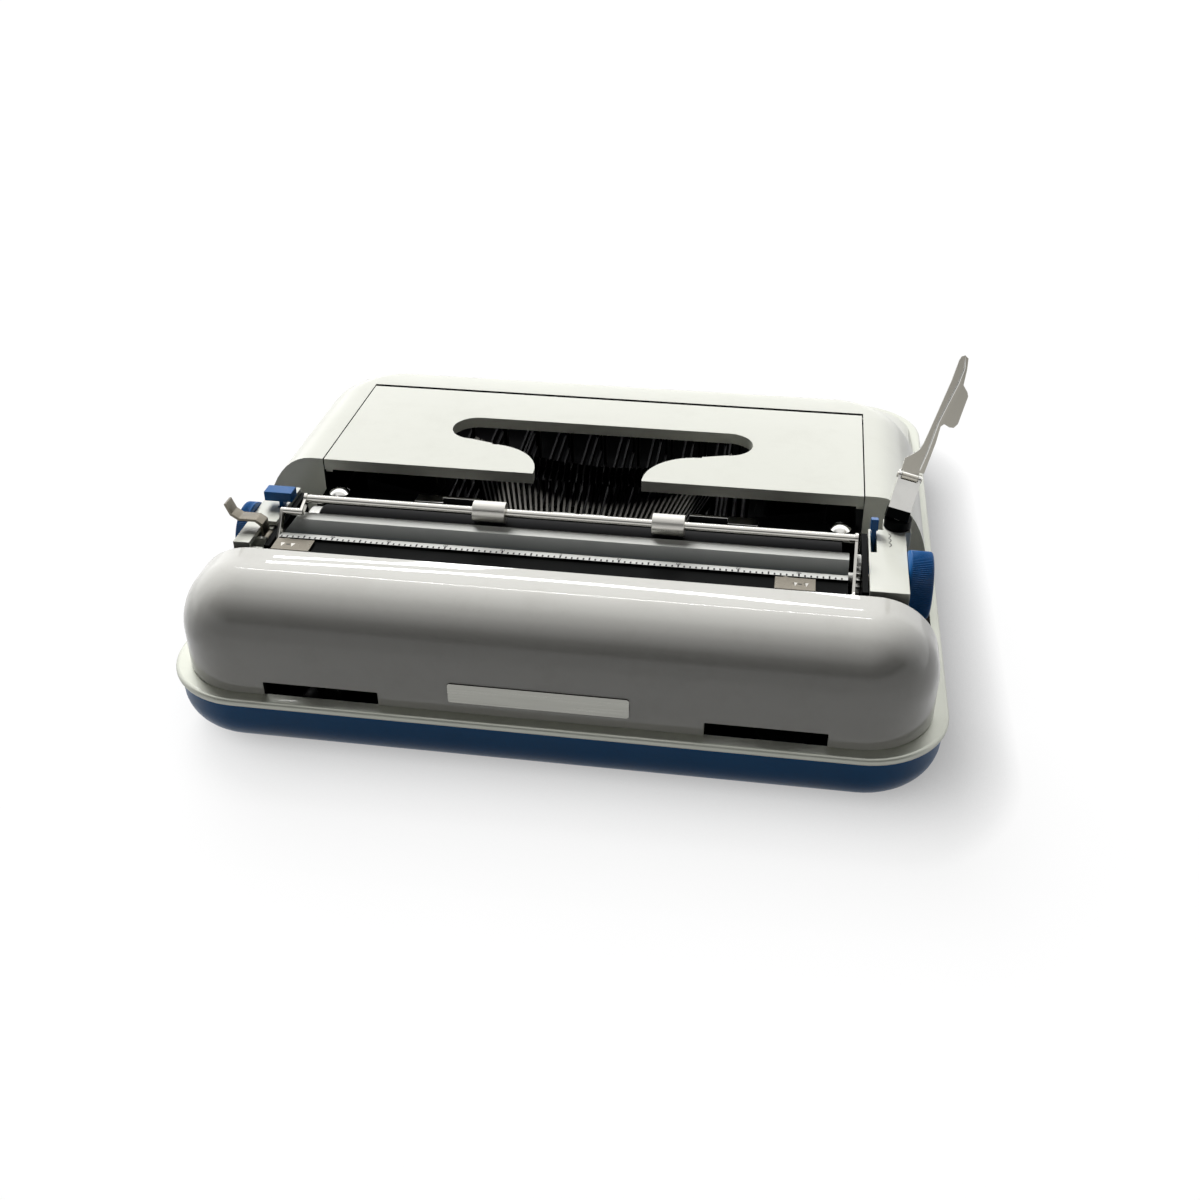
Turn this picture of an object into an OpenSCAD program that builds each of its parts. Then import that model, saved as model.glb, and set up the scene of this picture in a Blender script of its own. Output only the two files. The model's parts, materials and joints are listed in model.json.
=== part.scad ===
// Portable manual typewriter, seen from the typist: -Y is the front, +X the typist's right, Z up.
// The origin lies on the desk, under the middle of the base.

/* [Body] */
// Width over the rim trim
body_w = 336; // [326:1:350]
// Depth over the rim trim
body_d = 340; // [336:1:360]
// Corner radius of the rim trim in plan
corner_r = 37; // [35:1:45]
// Height of the rubber feet below the pan
foot_h = 3; // [3:0.5:8]
// Diameter of a rubber foot
foot_d = 20; // [16:1:24]
// Height of the blue pan
pan_h = 23.5; // [22:0.5:25]
// Radius of the pan's lower edge
pan_round = 16; // [12:1:17]
// Height of the rim trim
trim_h = 3.5; // [3:0.5:5]
// Wall of the moulded covers
wall = 2.5; // [1.5:0.1:3]

/* [Covers] */
// Height of the top face above the trim
cover_h = 46.7; // [46:0.1:56]
// Sideways rounding of the top cover
side_round = 26; // [18:1:27]
// Forward rounding of the top cover
front_round = 14; // [8:1:15]
// Depth of the top cover's flat top
top_d = 105; // [103:1:107]
// Gap between top cover and rear cover, where the carriage runs
bay_d = 85; // [85:0.5:88]
// Depth of the rear cover from its lip to its rear face
rear_d = 43; // [41:1:46]
// Edge rounding of the rear cover
rear_round = 28; // [16:1:30]
// Corner radius of the rear cover in plan
rear_corner_r = 32; // [31:1:36]
// Ledge of trim behind the rear cover
rear_ledge = 6; // [4:0.5:8]
// Width of the ribbon cover
lid_w = 258.6; // [254:0.2:259]
// Depth of the ribbon cover
lid_d = 89.7; // [88:0.1:91]
// Edge height of the ribbon cover
lid_edge = 5.5; // [5:0.1:5.6]
// Width of a hook slot in the rear cover
hook_w = 49.5; // [30:0.5:55]
// Height of a hook slot
hook_h = 6.5; // [4.5:0.5:9]

/* [Keyboard] */
// Distance between keys in a row
key_pitch = 19; // [18.5:0.1:19.2]
// Distance between rows
row_pitch = 17; // [16.6:0.1:17.2]
// Height step between rows
row_step = 6; // [5:0.1:6.5]
// Width of a key top
key_w = 14; // [12:0.1:15]
// Depth of a key top
key_d = 12; // [10:0.1:12.2]
// Thickness of a key top
key_h = 4.5; // [3:0.1:5]
// Thickness of a key lever
lever_t = 1.2; // [0.8:0.1:1.4]
// Diameter of the key fulcrum shaft
fulcrum_d = 4; // [3:0.1:5]
// Length of the space bar
space_w = 126; // [124:1:150]

/* [Type basket] */
// Typebar length from its pivot to the type
typebar_len = 62; // [61:0.1:63]
// Typebars on each side of the middle one
typebar_side = 21; // [12:1:21]
// Half the angle that the typebars fill
basket_half = 46; // [40:1:47]
// Swing of a typebar from rest to the platen
swing = 120; // [118:0.5:122]
// Thickness of a typebar
typebar_t = 1.2; // [0.8:0.1:1.3]

/* [Carriage] */
// Diameter of the platen
platen_d = 31.5; // [29:0.1:31.6]
// Length of the platen
platen_l = 231; // [220:1:231]
// Diameter of the platen shaft
shaft_d = 6; // [5:0.1:7]
// Diameter of a platen knob
knob_d = 29; // [24:0.5:29]
// Width of the left platen knob
knob_w = 10.5; // [8:0.5:12]
// Width of the right platen knob
right_knob_w = 5.2; // [5:0.1:6]
// Width of the left end cover
left_cover_w = 16.2; // [15:0.1:17]
// Width of the right end cover
right_cover_w = 12.7; // [12:0.1:13.2]
// Diameter of the bail rod
bail_d = 3.7; // [3:0.1:4.5]
// Diameter of a bail roller
bail_roller_d = 9.5; // [8:0.1:9.6]
// Length of the return lever above its bracket
lever_l = 70; // [60:0.5:72]
// Carriage travel to each side
travel = 105; // [80:1:105]
// Drop of the type basket by the shift
drop = 6; // [4:0.5:6]
// Diameter of a carriage rail
rail_d = 6; // [5:0.1:7]

/* [Hidden] */
$fn = 48;
// Running gap of a shaft in its bore, and gap between pieces that move past each other
run = 0.05;
gap = 0.3;
slice = 0.01;

pan_top = foot_h + pan_h;
trim_top = pan_top + trim_h;
top_z = trim_top + cover_h;
floor_z = foot_h + wall;
rear_y = body_d / 2;
front_y = -body_d / 2;
rear_face = rear_y - rear_ledge;
lip_y = rear_face - rear_d;
cut_y = lip_y - bay_d;
// Depth in front of the flat top that the keyboard needs, and the share of it that the body leaves
keyboard_d = 101;
plan_fit = (cut_y - front_y) / (top_d + keyboard_d);
top_front = cut_y - top_d * plan_fit;
trim_band = 8;
pan_inset = 2;
cover_inset = 6;
pitch_room = 19;
keyboard_room = 119;
keyboard_half = keyboard_room * max(1, key_pitch / pitch_room);
case_w = body_w + 2 * (keyboard_half - keyboard_room);
side_half = case_w / 2 - cover_inset;
skirt_h = 5;
low_z = trim_top + skirt_h;
rear_half = case_w / 2 - 6.5;
plate_in = case_w / 2 - 25;
flange_in = plate_in - 19;
rear_top = top_z - 0.4;

// Ribbon cover hinge, inside the rounded front edge of the cover
lid_t = 2.4;
top_room = 105;
lid_deep = lid_d * (cut_y - top_front) / top_room;
lid_front = cut_y + gap - lid_deep;
lid_hinge_r = 2.3;
lid_hinge_y = lid_front + lid_hinge_r;
lid_hinge_z = top_z - lid_hinge_r;
lid_pin_r = 1.2;
lid_gap = 0.6;
rim_t = 2.5;
rim_h = 8.2;
lid_half = lid_w / 2 + lid_gap;
lid_margin = 1;
side_round_fit = min(side_round, side_half - lid_half - rim_t - lid_margin);

// Key rows: where each row stands and which places its keys take
key_gap = 9 * plan_fit;
row_gap = row_pitch * plan_fit;
row1_y = top_front - 2 * key_gap;
row1_z = trim_top + 28;
key_rows = [[-0.5, -5, 5], [-0.25, -5, 5], [0, -5, 5], [0.25, -5, 4]];
space_y = row1_y - 3 * row_gap - 14.5 * plan_fit;
space_z = row1_z - 3 * row_step - 7;
space_d = 10;
space_h = 5;
side_key_x = flange_in - 5;
keyboard_fit = side_key_x / keyboard_half;
key_step = key_pitch * keyboard_fit;
space_len = space_w * keyboard_fit;
back_key_x = side_key_x - 7;
back_key_w = 20;
release_key_x = -side_key_x - 2;
release_key_w = 14;
shift_x = side_key_x - 7;
shift_w = 22;
fulcrum_y = cut_y - 42;
fulcrum_z = floor_z + 5.5;
arm_h = 5;
arm_z = fulcrum_z + 8.5;
stem_d = 4;
eye_wall = 2;
well_half = side_key_x + 11;
well_rear = top_front - key_gap;
well_front = front_y + key_gap;

// Main frame
plate_t = 3;
flange_t = 2.5;
frame_front = front_y + 40;
frame_rear = rear_y - 30;
plate_top = trim_top - 0.5;
foot_x = plate_in - 11;
foot_front = front_y + 52;
foot_rear = rear_y - 42;
screw_r = 2;
screw_head_r = 4;

// Carriage: the platen sets the place of everything on it
platen_y = lip_y - 31;
platen_z = top_z - 12.2;
platen_r = platen_d / 2;
platen_left = -119;
platen_right = platen_left + platen_l;
bed_y0 = platen_y - 24;
bed_y1 = platen_y + 25;
bed_t = 2.5;
bed_z = platen_z - 25.5;
bed_top = bed_z + bed_t;
end_in = 128;
end_t = 2.5;
end_out = end_in + end_t;
end_top = platen_z + 9.5;
cover_z0 = bed_top + 2.5;
cover_top = platen_z + 11.5;
cover_y0 = platen_y - 25;
cover_y1 = lip_y - 4;
cover_t = 2;
left_out = end_out + gap + left_cover_w;
right_out = end_out + gap + right_cover_w;
rail_z = bed_z - 5;
rail_y = [platen_y - 16, platen_y + 20];
bush_x = 28;
bush_w = 6;
bush_d = 10;
bail_pivot_y = platen_y + 21;
bail_pivot_z = platen_z + 3.5;
bail_pin_r = 1.5;
bail_reach = platen_r + bail_roller_d / 2 + gap;
bail_rod_y = platen_y + 1;
bail_rod_z = platen_z + sqrt(bail_reach * bail_reach - 1);
bail_arm_x = 124;
bail_near_x = 117.2;
bail_far_x = 126;
bail_knee_y = platen_y + 8.5;
bail_knee_z = platen_z + 18;
bail_arm_t = 1.2;
roller_x = [[26.8, 41.3], [-51.6, -37.6]];
feed_r = 3.8;
feed_reach = platen_r + feed_r + gap;
feed_y = platen_y - feed_reach * sin(20);
feed_z = platen_z - feed_reach * cos(20);
feed_pin_r = 1;
feed_w = 40;
feed_pitch = 70;
table_left = -122;
table_right = 124.3;
table_gap = 0.85;
scale_left = -122;
scale_right = 125.5;
scale_y = platen_y + 15;
scale_d = 3.4;
scale_z = platen_z + 9.9;
scale_t = 1;
margin_y0 = scale_y + scale_d;
margin_y1 = lip_y - 2.5;
stop_w = 17;
stop_right_x = 117;
stop_left_x = -100.2;

// Type basket: strike point on the platen, seen in the plane that the typebars strike in
strike_tilt = 40;
slug_h = 5.5;
strike_gap = 1.5;
strike_off = platen_r + slug_h + strike_gap;
strike_y = platen_y - strike_off * cos(strike_tilt);
strike_z = platen_z + strike_off * sin(strike_tilt);
pivot_y = strike_y - typebar_len * sin(strike_tilt);
pivot_z = strike_z - typebar_len * cos(strike_tilt);
typebar_step = basket_half / typebar_side;
typebar_h = 3.2;
typebar_eye = 2.4;
type_pin_r = 1;
slot_w = typebar_t + 0.5;
slug_w = 2.6;
slug_back = 4.5;
slug_front = 3;
slide_x = 47;
slide_z = -9;
slide_r = 2;
slide_low = -typebar_len + 8 - drop;
slide_high = -typebar_len + 32;
slide_low_y = strike_y + slide_low * sin(strike_tilt) - slide_z * cos(strike_tilt);
slide_low_z = strike_z + slide_low * cos(strike_tilt) + slide_z * sin(strike_tilt);
ring_in = 4.5;
ring_out = 5;
ring_half = 5;
ring_end = 50;
cross_y = platen_y - 32;
cross_d = 6;
cross_z = trim_top - 4;
cross_h = 6;

// Ribbon deck, spools and ribbon
deck_z = top_z - 30.7;
deck_t = 2;
deck_out = plate_in - 14.5;
deck_in = deck_out - 52.5;
deck_front = cut_y - 52;
shelf_y = cut_y + 2;
shelf_d = 16;
shelf_top = top_z - 14.7;
spool_x = deck_out - 30.5;
spool_y = cut_y - 31;
spool_r = 19;
spool_pack_r = 15;
spool_post_r = 2;
ribbon_z = deck_z + 3.3;
ribbon_h = 12.1;
ribbon_t = 0.4;
guide_x = deck_in - 12;
guide_y = cut_y + 5;
fork_x = 9;
fork_y = platen_y - platen_r - 1;
stud_x = deck_out - 8.8;
stud_y = shelf_y + 7;

// Shift yoke, drive train and small levers
yoke_y = fulcrum_y + 26;
yoke_z = fulcrum_z + 2;
yoke_r = 2;
rack_y = bed_y1;
rack_d = 3;
rack_h = 4;
rack_half = travel + 13;
pinion_r = 5.5;
wheel_r = 9;
wheel_y = rack_y + gap + pinion_r;
post_r = 2;
pinion_z = bed_top - 1.5;
pinion_h = 12.5;
drum_x = -plate_in + 43;
bell_x = plate_in - 43;
drum_y = rear_y - 24;
drum_r = 12;
drum_z = floor_z + 5;
drum_h = 13;
selector_x = side_key_x + 3;
selector_y = row1_y - row_gap;
selector_z = trim_top - 3;

// Return lever: swing pivot on the left end cover, then a clevis that leans towards the typist
swing_x = -143.5;
swing_y = cover_y0 - 4;
swing_pin_r = 2;
ear_h = 8;
lean = 24;
clevis_w = 10;
clevis_d = 7;
clevis_t = 1.2;
clevis_l = 16.5;
clevis_slant = 12.4;
clevis_x = 0.8;
fold_at = 18;
fold_pin_r = 1.25;
arm_t = 2.6;

cover_grey = "#d6d7d0";
top_white = "#e9eae2";
trim_grey = "#b9bdb4";
pan_blue = "#1d5a9a";
black_paint = "#1b1c1d";
steel = "#9a9c9c";
chrome = "#d8dada";
rubber_black = "#202122";
key_black = "#2a2b2c";

// A box between two corners.
module span(a, b) {
    translate(a) cube([b[0] - a[0], b[1] - a[1], b[2] - a[2]]);
}

// A round bar along X between two places.
module bar_x(x0, x1, y, z, r) {
    translate([x0, y, z]) rotate([0, 90, 0]) cylinder(r = r, h = x1 - x0);
}

// A side profile drawn in (Y, Z) and carried along X.
module along_x(x0, x1) {
    translate([x0, 0, 0]) rotate([90, 0, 90]) linear_extrude(x1 - x0) children();
}

// A 2D profile, drawn outwards from a corner's centre, carried round a rounded rectangle.
module frame_sweep(w, d, r) {
    for (sx = [0, 1], sy = [0, 1])
        mirror([sx, 0, 0])
            mirror([0, sy, 0])
                translate([w / 2 - r, d / 2 - r, 0]) rotate_extrude(angle = 90) children();
    for (sy = [0, 1])
        mirror([0, sy, 0])
            translate([-w / 2 + r, d / 2 - r, 0]) rotate([90, 0, 90]) linear_extrude(w - 2 * r) children();
    for (sx = [0, 1])
        mirror([sx, 0, 0])
            translate([w / 2 - r, d / 2 - r, 0]) rotate([90, 0, 0]) linear_extrude(d - 2 * r) children();
}

module both_sides() {
    children();
    mirror([1, 0, 0]) children();
}

// Solid form of the pan with its rounded lower edge; grow shrinks it for the inside.
module pan_form(grow, z_low, z_high) {
    r = corner_r - pan_inset - grow;
    w = case_w - 2 * pan_inset - 2 * grow;
    d = body_d - 2 * pan_inset - 2 * grow;
    edge = pan_round - grow;
    frame_sweep(w, d, r) {
        translate([0, z_low + edge]) square([r, z_high - z_low - edge]);
        translate([0, z_low]) square([r - edge, z_high - z_low]);
        intersection() {
            translate([r - edge, z_low + edge]) circle(r = edge);
            translate([0, z_low]) square([r, edge]);
        }
    }
    span([-w / 2 + r, -d / 2 + r, z_low], [w / 2 - r, d / 2 - r, z_high]);
}

module foot_places() {
    for (sx = [-1, 1], y = [foot_front, foot_rear])
        translate([sx * foot_x, y, 0]) children();
}

module base_pan() {
    color(pan_blue)
    difference() {
        pan_form(0, foot_h, pan_top);
        pan_form(wall, floor_z, pan_top + 1);
        foot_places() cylinder(r = screw_r + gap, h = floor_z + 1);
    }
}

module rim_trim() {
    bead = trim_h / 2;
    color(trim_grey)
    frame_sweep(case_w, body_d, corner_r) {
        translate([corner_r - trim_band, pan_top]) square([trim_band - bead, trim_h]);
        intersection() {
            translate([corner_r - bead, pan_top + bead]) circle(r = bead);
            translate([corner_r - bead, pan_top]) square([bead, trim_h]);
        }
    }
}

// Section of a cover's edge: upright, then rounded over towards the middle.
module edge_profile(r, edge, z_low, z_high) {
    translate([0, z_low]) square([r, z_high - z_low - edge]);
    translate([0, z_low]) square([r - edge, z_high - z_low]);
    intersection() {
        translate([r - edge, z_high - edge]) circle(r = edge);
        translate([0, z_high - edge]) square([r, edge]);
    }
}

// Solid form of the rear cover: straight at the lip, round at the rear corners, rounded over at the top.
module rear_form(grow, lip_at, z_low, z_high) {
    r = rear_corner_r - grow;
    edge = rear_round - grow;
    half = rear_half - rear_corner_r;
    deep = rear_face - rear_corner_r;
    for (sx = [0, 1])
        mirror([sx, 0, 0]) {
            translate([half, deep, 0]) rotate_extrude(angle = 90) edge_profile(r, edge, z_low, z_high);
            translate([half, deep, 0])
                rotate([90, 0, 0]) linear_extrude(deep - lip_at) edge_profile(r, edge, z_low, z_high);
        }
    translate([-half, deep, 0]) rotate([90, 0, 90]) linear_extrude(2 * half) edge_profile(r, edge, z_low, z_high);
    span([-half, lip_at, z_low], [half, deep, z_high]);
}

hook_x = 93;

module rear_cover() {
    color(cover_grey)
    difference() {
        rear_form(0, lip_y, trim_top, rear_top);
        rear_form(wall, lip_y - 1, trim_top - 1, rear_top - wall);
        for (sx = [-1, 1])
            translate([sx * hook_x - hook_w / 2, rear_face - wall - 8, trim_top - 1])
                cube([hook_w, wall + 9, hook_h + 1]);
    }
}

// High part of the top cover: sides and front rounded over towards the flat top.
module high_form(grow, rear_at, z_low, z_high) {
    layers = 12;
    corner = 36;
    hull()
        for (k = [-1:layers]) {
            a = 90 * max(k, 0) / layers;
            half = side_half - grow - side_round_fit * (1 - cos(a));
            z = k < 0 ? z_low : low_z + (z_high - low_z) * sin(a);
            front = top_front - front_round * cos(a) + grow;
            r = corner - grow - side_round * (1 - cos(a)) / 2;
            for (sx = [-1, 1])
                translate([sx * (half - r), front + r, z]) cylinder(r = r, h = slice, $fn = 56);
            translate([-half, rear_at - slice, z]) cube([2 * half, slice, slice]);
        }
}

// Low part of the top cover: the keyboard surround, sloping down to the front.
module low_form(grow, z_low) {
    r = corner_r - cover_inset - grow;
    half = side_half - grow;
    back_z = row1_z - 6 - grow;
    front_z = trim_top + 3 - grow;
    edge = 6;
    hull() {
        for (sx = [-1, 1]) {
            translate([sx * (half - r), front_y + cover_inset + grow + r, z_low]) cylinder(r = r, h = slice, $fn = 32);
            translate([sx * (half - r), front_y + cover_inset + grow + r + 1, front_z - 1.5])
                cylinder(r = r, h = slice, $fn = 32);
            translate([sx * (half - r), front_y + cover_inset + grow + r + edge, front_z])
                cylinder(r = r - edge / 2, h = slice, $fn = 32);
            translate([sx * (half - 1), top_front + 10, (z_low + back_z) / 2]) cylinder(r = 1, h = slice, $fn = 16);
            translate([sx * (half - 4 - edge), top_front + 10, back_z]) cylinder(r = 4, h = slice, $fn = 16);
            translate([sx * (half - 1), top_front + 10, z_low]) cylinder(r = 1, h = slice, $fn = 16);
        }
    }
}

module top_cover() {
    ledge = 3.4;
    ledge_h = 2.3;
    sill_t = 3;
    sill_h = 8;
    boss_d = 8;
    rim_z = top_z - rim_h;
    color(top_white)
    difference() {
        union() {
            difference() {
                union() {
                    high_form(0, cut_y, trim_top, top_z - slice);
                    low_form(0, trim_top);
                }
                high_form(wall, cut_y - wall, trim_top - 1, top_z - wall);
                low_form(wall, trim_top - 1);
                // rear wall open between the cheeks
                span([-lid_half - slice, cut_y - wall - 1, trim_top - 1], [lid_half + slice, cut_y + 1, top_z - wall]);
            }
            both_sides() {
                // rim and ledge beside the ribbon cover
                span([lid_half, lid_front - rim_t, rim_z], [lid_half + rim_t, cut_y, top_z - wall / 2]);
                span([lid_half - ledge, lid_front + boss_d, rim_z], [lid_half + 1, cut_y - wall, rim_z + ledge_h]);
                // hinge boss
                span([lid_half, lid_front - rim_t, rim_z], [lid_half + 2 * rim_t, lid_front + boss_d, top_z - wall / 2]);
                // low sill under the carriage
                span([side_half - sill_t, cut_y - wall, trim_top], [side_half, lip_y - gap, trim_top + sill_h]);
            }
        }
        // opening for the ribbon cover
        span([-lid_half, lid_front - lid_gap, top_z - wall - 1], [lid_half, cut_y + 1, top_z + 1]);
        // keyboard well
        span([-well_half, well_front, trim_top - 1], [well_half, well_rear, top_z]);
        for (sx = [-1, 1])
            bar_x(sx * (lid_half + rim_t) - 4, sx * (lid_half + rim_t) + 4, lid_hinge_y, lid_hinge_z, lid_pin_r + run);
    }
}

// T-shaped opening of the ribbon cover, with round lobes and a neck to the rear edge.
module type_opening() {
    front = lid_front + 32.7;
    lobe_r = 12.3;
    lobe_x = 63.5;
    wing_r = 26;
    wing_x = 52;
    rear = lid_front + lid_deep;
    for (sx = [-1, 1]) {
        translate([sx * lobe_x, front + lobe_r]) circle(r = lobe_r);
        polygon([[sx * lobe_x, front + 2 * lobe_r], [sx * (wing_x - 5), rear - wing_r - 1.6], [0, rear - wing_r],
            [0, front + lobe_r]]);
    }
    translate([-lobe_x, front]) square([2 * lobe_x, 2 * lobe_r]);
    difference() {
        translate([-wing_x, front + lobe_r]) square([2 * wing_x, rear - front - lobe_r + 5]);
        for (sx = [-1, 1]) {
            translate([sx * wing_x, rear - 2]) circle(r = wing_r);
            translate([sx > 0 ? wing_x - wing_r : -wing_x - 1, rear - 2]) square([wing_r + 1, 10]);
        }
    }
}

module ribbon_cover() {
    edge = 2.2;
    corner = 4;
    rear = lid_front + lid_deep;
    pin_len = lid_gap + 4;
    pocket_z = top_z - lid_edge - 1;
    pocket_top = top_z - lid_t;
    color(top_white)
    difference() {
        union() {
            translate([0, 0, top_z - lid_edge])
                linear_extrude(lid_edge)
                    difference() {
                        translate([-lid_w / 2, lid_hinge_y]) square([lid_w, rear - lid_hinge_y]);
                        type_opening();
                    }
            bar_x(-lid_w / 2, lid_w / 2, lid_hinge_y, lid_hinge_z, lid_hinge_r);
            bar_x(-lid_w / 2 - pin_len, lid_w / 2 + pin_len, lid_hinge_y, lid_hinge_z, lid_pin_r);
        }
        // hollow underside beside and in front of the opening
        both_sides()
            span([78.5, lid_hinge_y + edge, pocket_z], [lid_w / 2 - edge, rear - edge, pocket_top]);
        span([-76, lid_hinge_y + edge, pocket_z], [76, lid_front + 29.4, pocket_top]);
    }
}

module rear_plate() {
    w = 75.4;
    h = 9.4;
    t = 0.6;
    r = 1.2;
    color("#c9cbca")
    translate([0, rear_face + t, trim_top + 10.4])
        rotate([90, 0, 0])
            linear_extrude(t)
                union() {
                    square([w - 2 * r, h], center = true);
                    square([w, h - 2 * r], center = true);
                    for (sx = [-1, 1], sy = [-1, 1])
                        translate([sx * (w / 2 - r), sy * (h / 2 - r)]) circle(r = r);
                }
}

module rubber_feet() {
    color(rubber_black)
    foot_places()
        difference() {
            cylinder(d = foot_d, h = foot_h);
            translate([0, 0, -1]) cylinder(r = screw_head_r + gap, h = foot_h + 2);
        }
}

module foot_screws() {
    head_h = 2;
    color(steel)
    foot_places() {
        translate([0, 0, foot_h - head_h]) cylinder(r = screw_head_r, h = head_h);
        cylinder(r = screw_r, h = floor_z + flange_t + 3);
    }
}

// Steel frame: side plates on flanges, cross bars, ribbon decks on posts, and the posts of the turning pieces.
module main_frame() {
    post_t = 4;
    rear_bar = frame_rear - 10;
    slide_arm = 4;
    color(black_paint)
    difference() {
        union() {
            both_sides() {
                span([flange_in, frame_front, floor_z], [plate_in + plate_t, frame_rear, floor_z + flange_t]);
                span([plate_in, frame_front, floor_z], [plate_in + plate_t, frame_rear, plate_top]);
                // ears that hold the carriage rails
                span([plate_in, rail_y[0] - 6, floor_z], [plate_in + plate_t, rail_y[1] + 6, rail_z + 4.5]);
                span([deck_in, deck_front, deck_z], [deck_out, shelf_y + deck_t, deck_z + deck_t]);
                span([deck_in, shelf_y, deck_z], [deck_out, shelf_y + deck_t, shelf_top]);
                span([deck_in, shelf_y, shelf_top - deck_t], [deck_out, shelf_y + shelf_d, shelf_top]);
                for (y = [deck_front, shelf_y - 10])
                    span([deck_out - post_t, y, floor_z], [deck_out, y + 5, deck_z + deck_t]);
                translate([spool_x, spool_y, deck_z]) cylinder(r = spool_post_r, h = deck_t + 19);
                // arm and leaning rod that the type basket slides on
                span([slide_x - slide_arm, slide_low_y - 3, cross_z], [slide_x + slide_arm, cross_y + 1, cross_z + 3]);
                span([slide_x - slide_arm, slide_low_y - 3, min(cross_z, slide_low_z - 2)],
                    [slide_x + slide_arm, slide_low_y + 3, max(cross_z + 3, slide_low_z + 2)]);
                strike_plane()
                    translate([slide_x, slide_low, slide_z])
                        rotate([-90, 0, 0]) cylinder(r = slide_r, h = slide_high - slide_low);
            }
            span([-plate_in, cross_y, cross_z], [plate_in, cross_y + cross_d, cross_z + cross_h]);
            span([-plate_in, rear_bar, floor_z], [plate_in, rear_bar + 3, floor_z + 14]);
            span([-plate_in, wheel_y - 4, floor_z], [plate_in, drum_y + 4, floor_z + flange_t]);
            translate([0, wheel_y, floor_z]) cylinder(r = post_r, h = pinion_z + pinion_h + 5 - floor_z);
            for (x = [drum_x, bell_x])
                translate([x, drum_y, floor_z]) cylinder(r = post_r, h = drum_z + drum_h + 2 - floor_z);
            bar_x(selector_x - 4, plate_in + 1, selector_y, selector_z, bail_pin_r);
        }
        foot_places() cylinder(r = screw_r, h = floor_z + flange_t + 1);
    }
}

module deck_studs() {
    dome_r = 5;
    dome_h = 2.4;
    neck_h = 2;
    ball_r = (dome_r * dome_r + dome_h * dome_h) / (2 * dome_h);
    color(chrome)
    for (sx = [-1, 1])
        translate([sx * stud_x, stud_y, shelf_top]) {
            cylinder(r = 2, h = neck_h + 0.5);
            translate([0, 0, neck_h])
                intersection() {
                    cylinder(r = dome_r, h = dome_h);
                    translate([0, 0, dome_h - ball_r]) sphere(r = ball_r);
                }
        }
}

// Puts its children in the strike plane: local Z points away from the platen, local -Y down to the pivots.
module strike_plane() {
    translate([0, strike_y, strike_z]) rotate([90 - strike_tilt, 0, 0]) children();
}

module segment() {
    lug_half = 4;
    lug_low = -typebar_len + 17;
    lug_high = -typebar_len + 24;
    lug_z0 = slide_z - 4;
    lug_z1 = -ring_half + 1;
    color(steel)
    strike_plane()
        union() {
            difference() {
                union() {
                    rotate([0, 0, -90 - ring_end])
                        rotate_extrude(angle = 2 * ring_end)
                            translate([typebar_len - ring_in, -ring_half]) square([ring_in + ring_out, 2 * ring_half]);
                    for (sx = [-1, 1])
                        span([sx * slide_x - lug_half, lug_low, lug_z0], [sx * slide_x + lug_half, lug_high, lug_z1]);
                }
                for (i = [-typebar_side:typebar_side])
                    rotate([0, 0, i * typebar_step])
                        translate([-slot_w / 2, -typebar_len - ring_out - 1, -typebar_eye - gap])
                            cube([slot_w, ring_in + ring_out + 2, 2 * ring_half]);
                for (sx = [-1, 1])
                    translate([sx * slide_x, slide_low - 5, slide_z])
                        rotate([-90, 0, 0]) cylinder(r = slide_r + run, h = 50);
            }
            bar_x(-slot_w / 2 - 0.4, slot_w / 2 + 0.4, -typebar_len, 0, type_pin_r);
        }
}

// A typebar in its own swing plane, lying along +Y from its pivot, with the slug facing -Z.
module typebar_form(bore) {
    tip = typebar_len + slug_front;
    along_x(-typebar_t / 2, typebar_t / 2)
        difference() {
            union() {
                circle(r = typebar_eye, $fn = 24);
                translate([0, -typebar_h / 2]) square([tip, typebar_h]);
            }
            if (bore)
                circle(r = type_pin_r + run);
        }
    span([-slug_w / 2, typebar_len - slug_back, -slug_h], [slug_w / 2, tip, typebar_h / 2]);
}

module typebar_at(i, bore) {
    strike_plane()
        rotate([0, 0, i * typebar_step])
            translate([0, -typebar_len, 0])
                rotate([swing, 0, 0])
                    typebar_form(bore);
}

module typebars() {
    color(steel)
    for (i = [-typebar_side:typebar_side])
        if (i != 0)
            typebar_at(i, false);
}

module live_typebar() {
    color(steel) typebar_at(0, true);
}

module type_guide() {
    half = 12;
    t = 2;
    slot = 3.4;
    y0 = cross_y + 2;
    top = strike_z - 9;
    color(steel)
    difference() {
        span([-half, y0, cross_z + cross_h], [half, y0 + t, top]);
        span([-slot / 2, y0 - 1, top - 12], [slot / 2, y0 + t + 1, top + 1]);
    }
}

module ribbon_guides() {
    t = 1.2;
    flange = 4;
    color(chrome)
    both_sides() {
        span([deck_in - 26, shelf_y + 2, shelf_top], [deck_in + 6, shelf_y + 9, shelf_top + t]);
        span([deck_in - 26, shelf_y + 9 - t, shelf_top], [deck_in - 8, shelf_y + 9, shelf_top + flange]);
    }
}

// A flat stretch of ribbon standing on edge between two places in plan.
module ribbon_run(a, b) {
    d = b - a;
    translate([a[0], a[1], ribbon_z])
        rotate([0, 0, atan2(d[1], d[0])])
            translate([0, -ribbon_t / 2, 0])
                cube([norm(d), ribbon_t, ribbon_h]);
}

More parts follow.
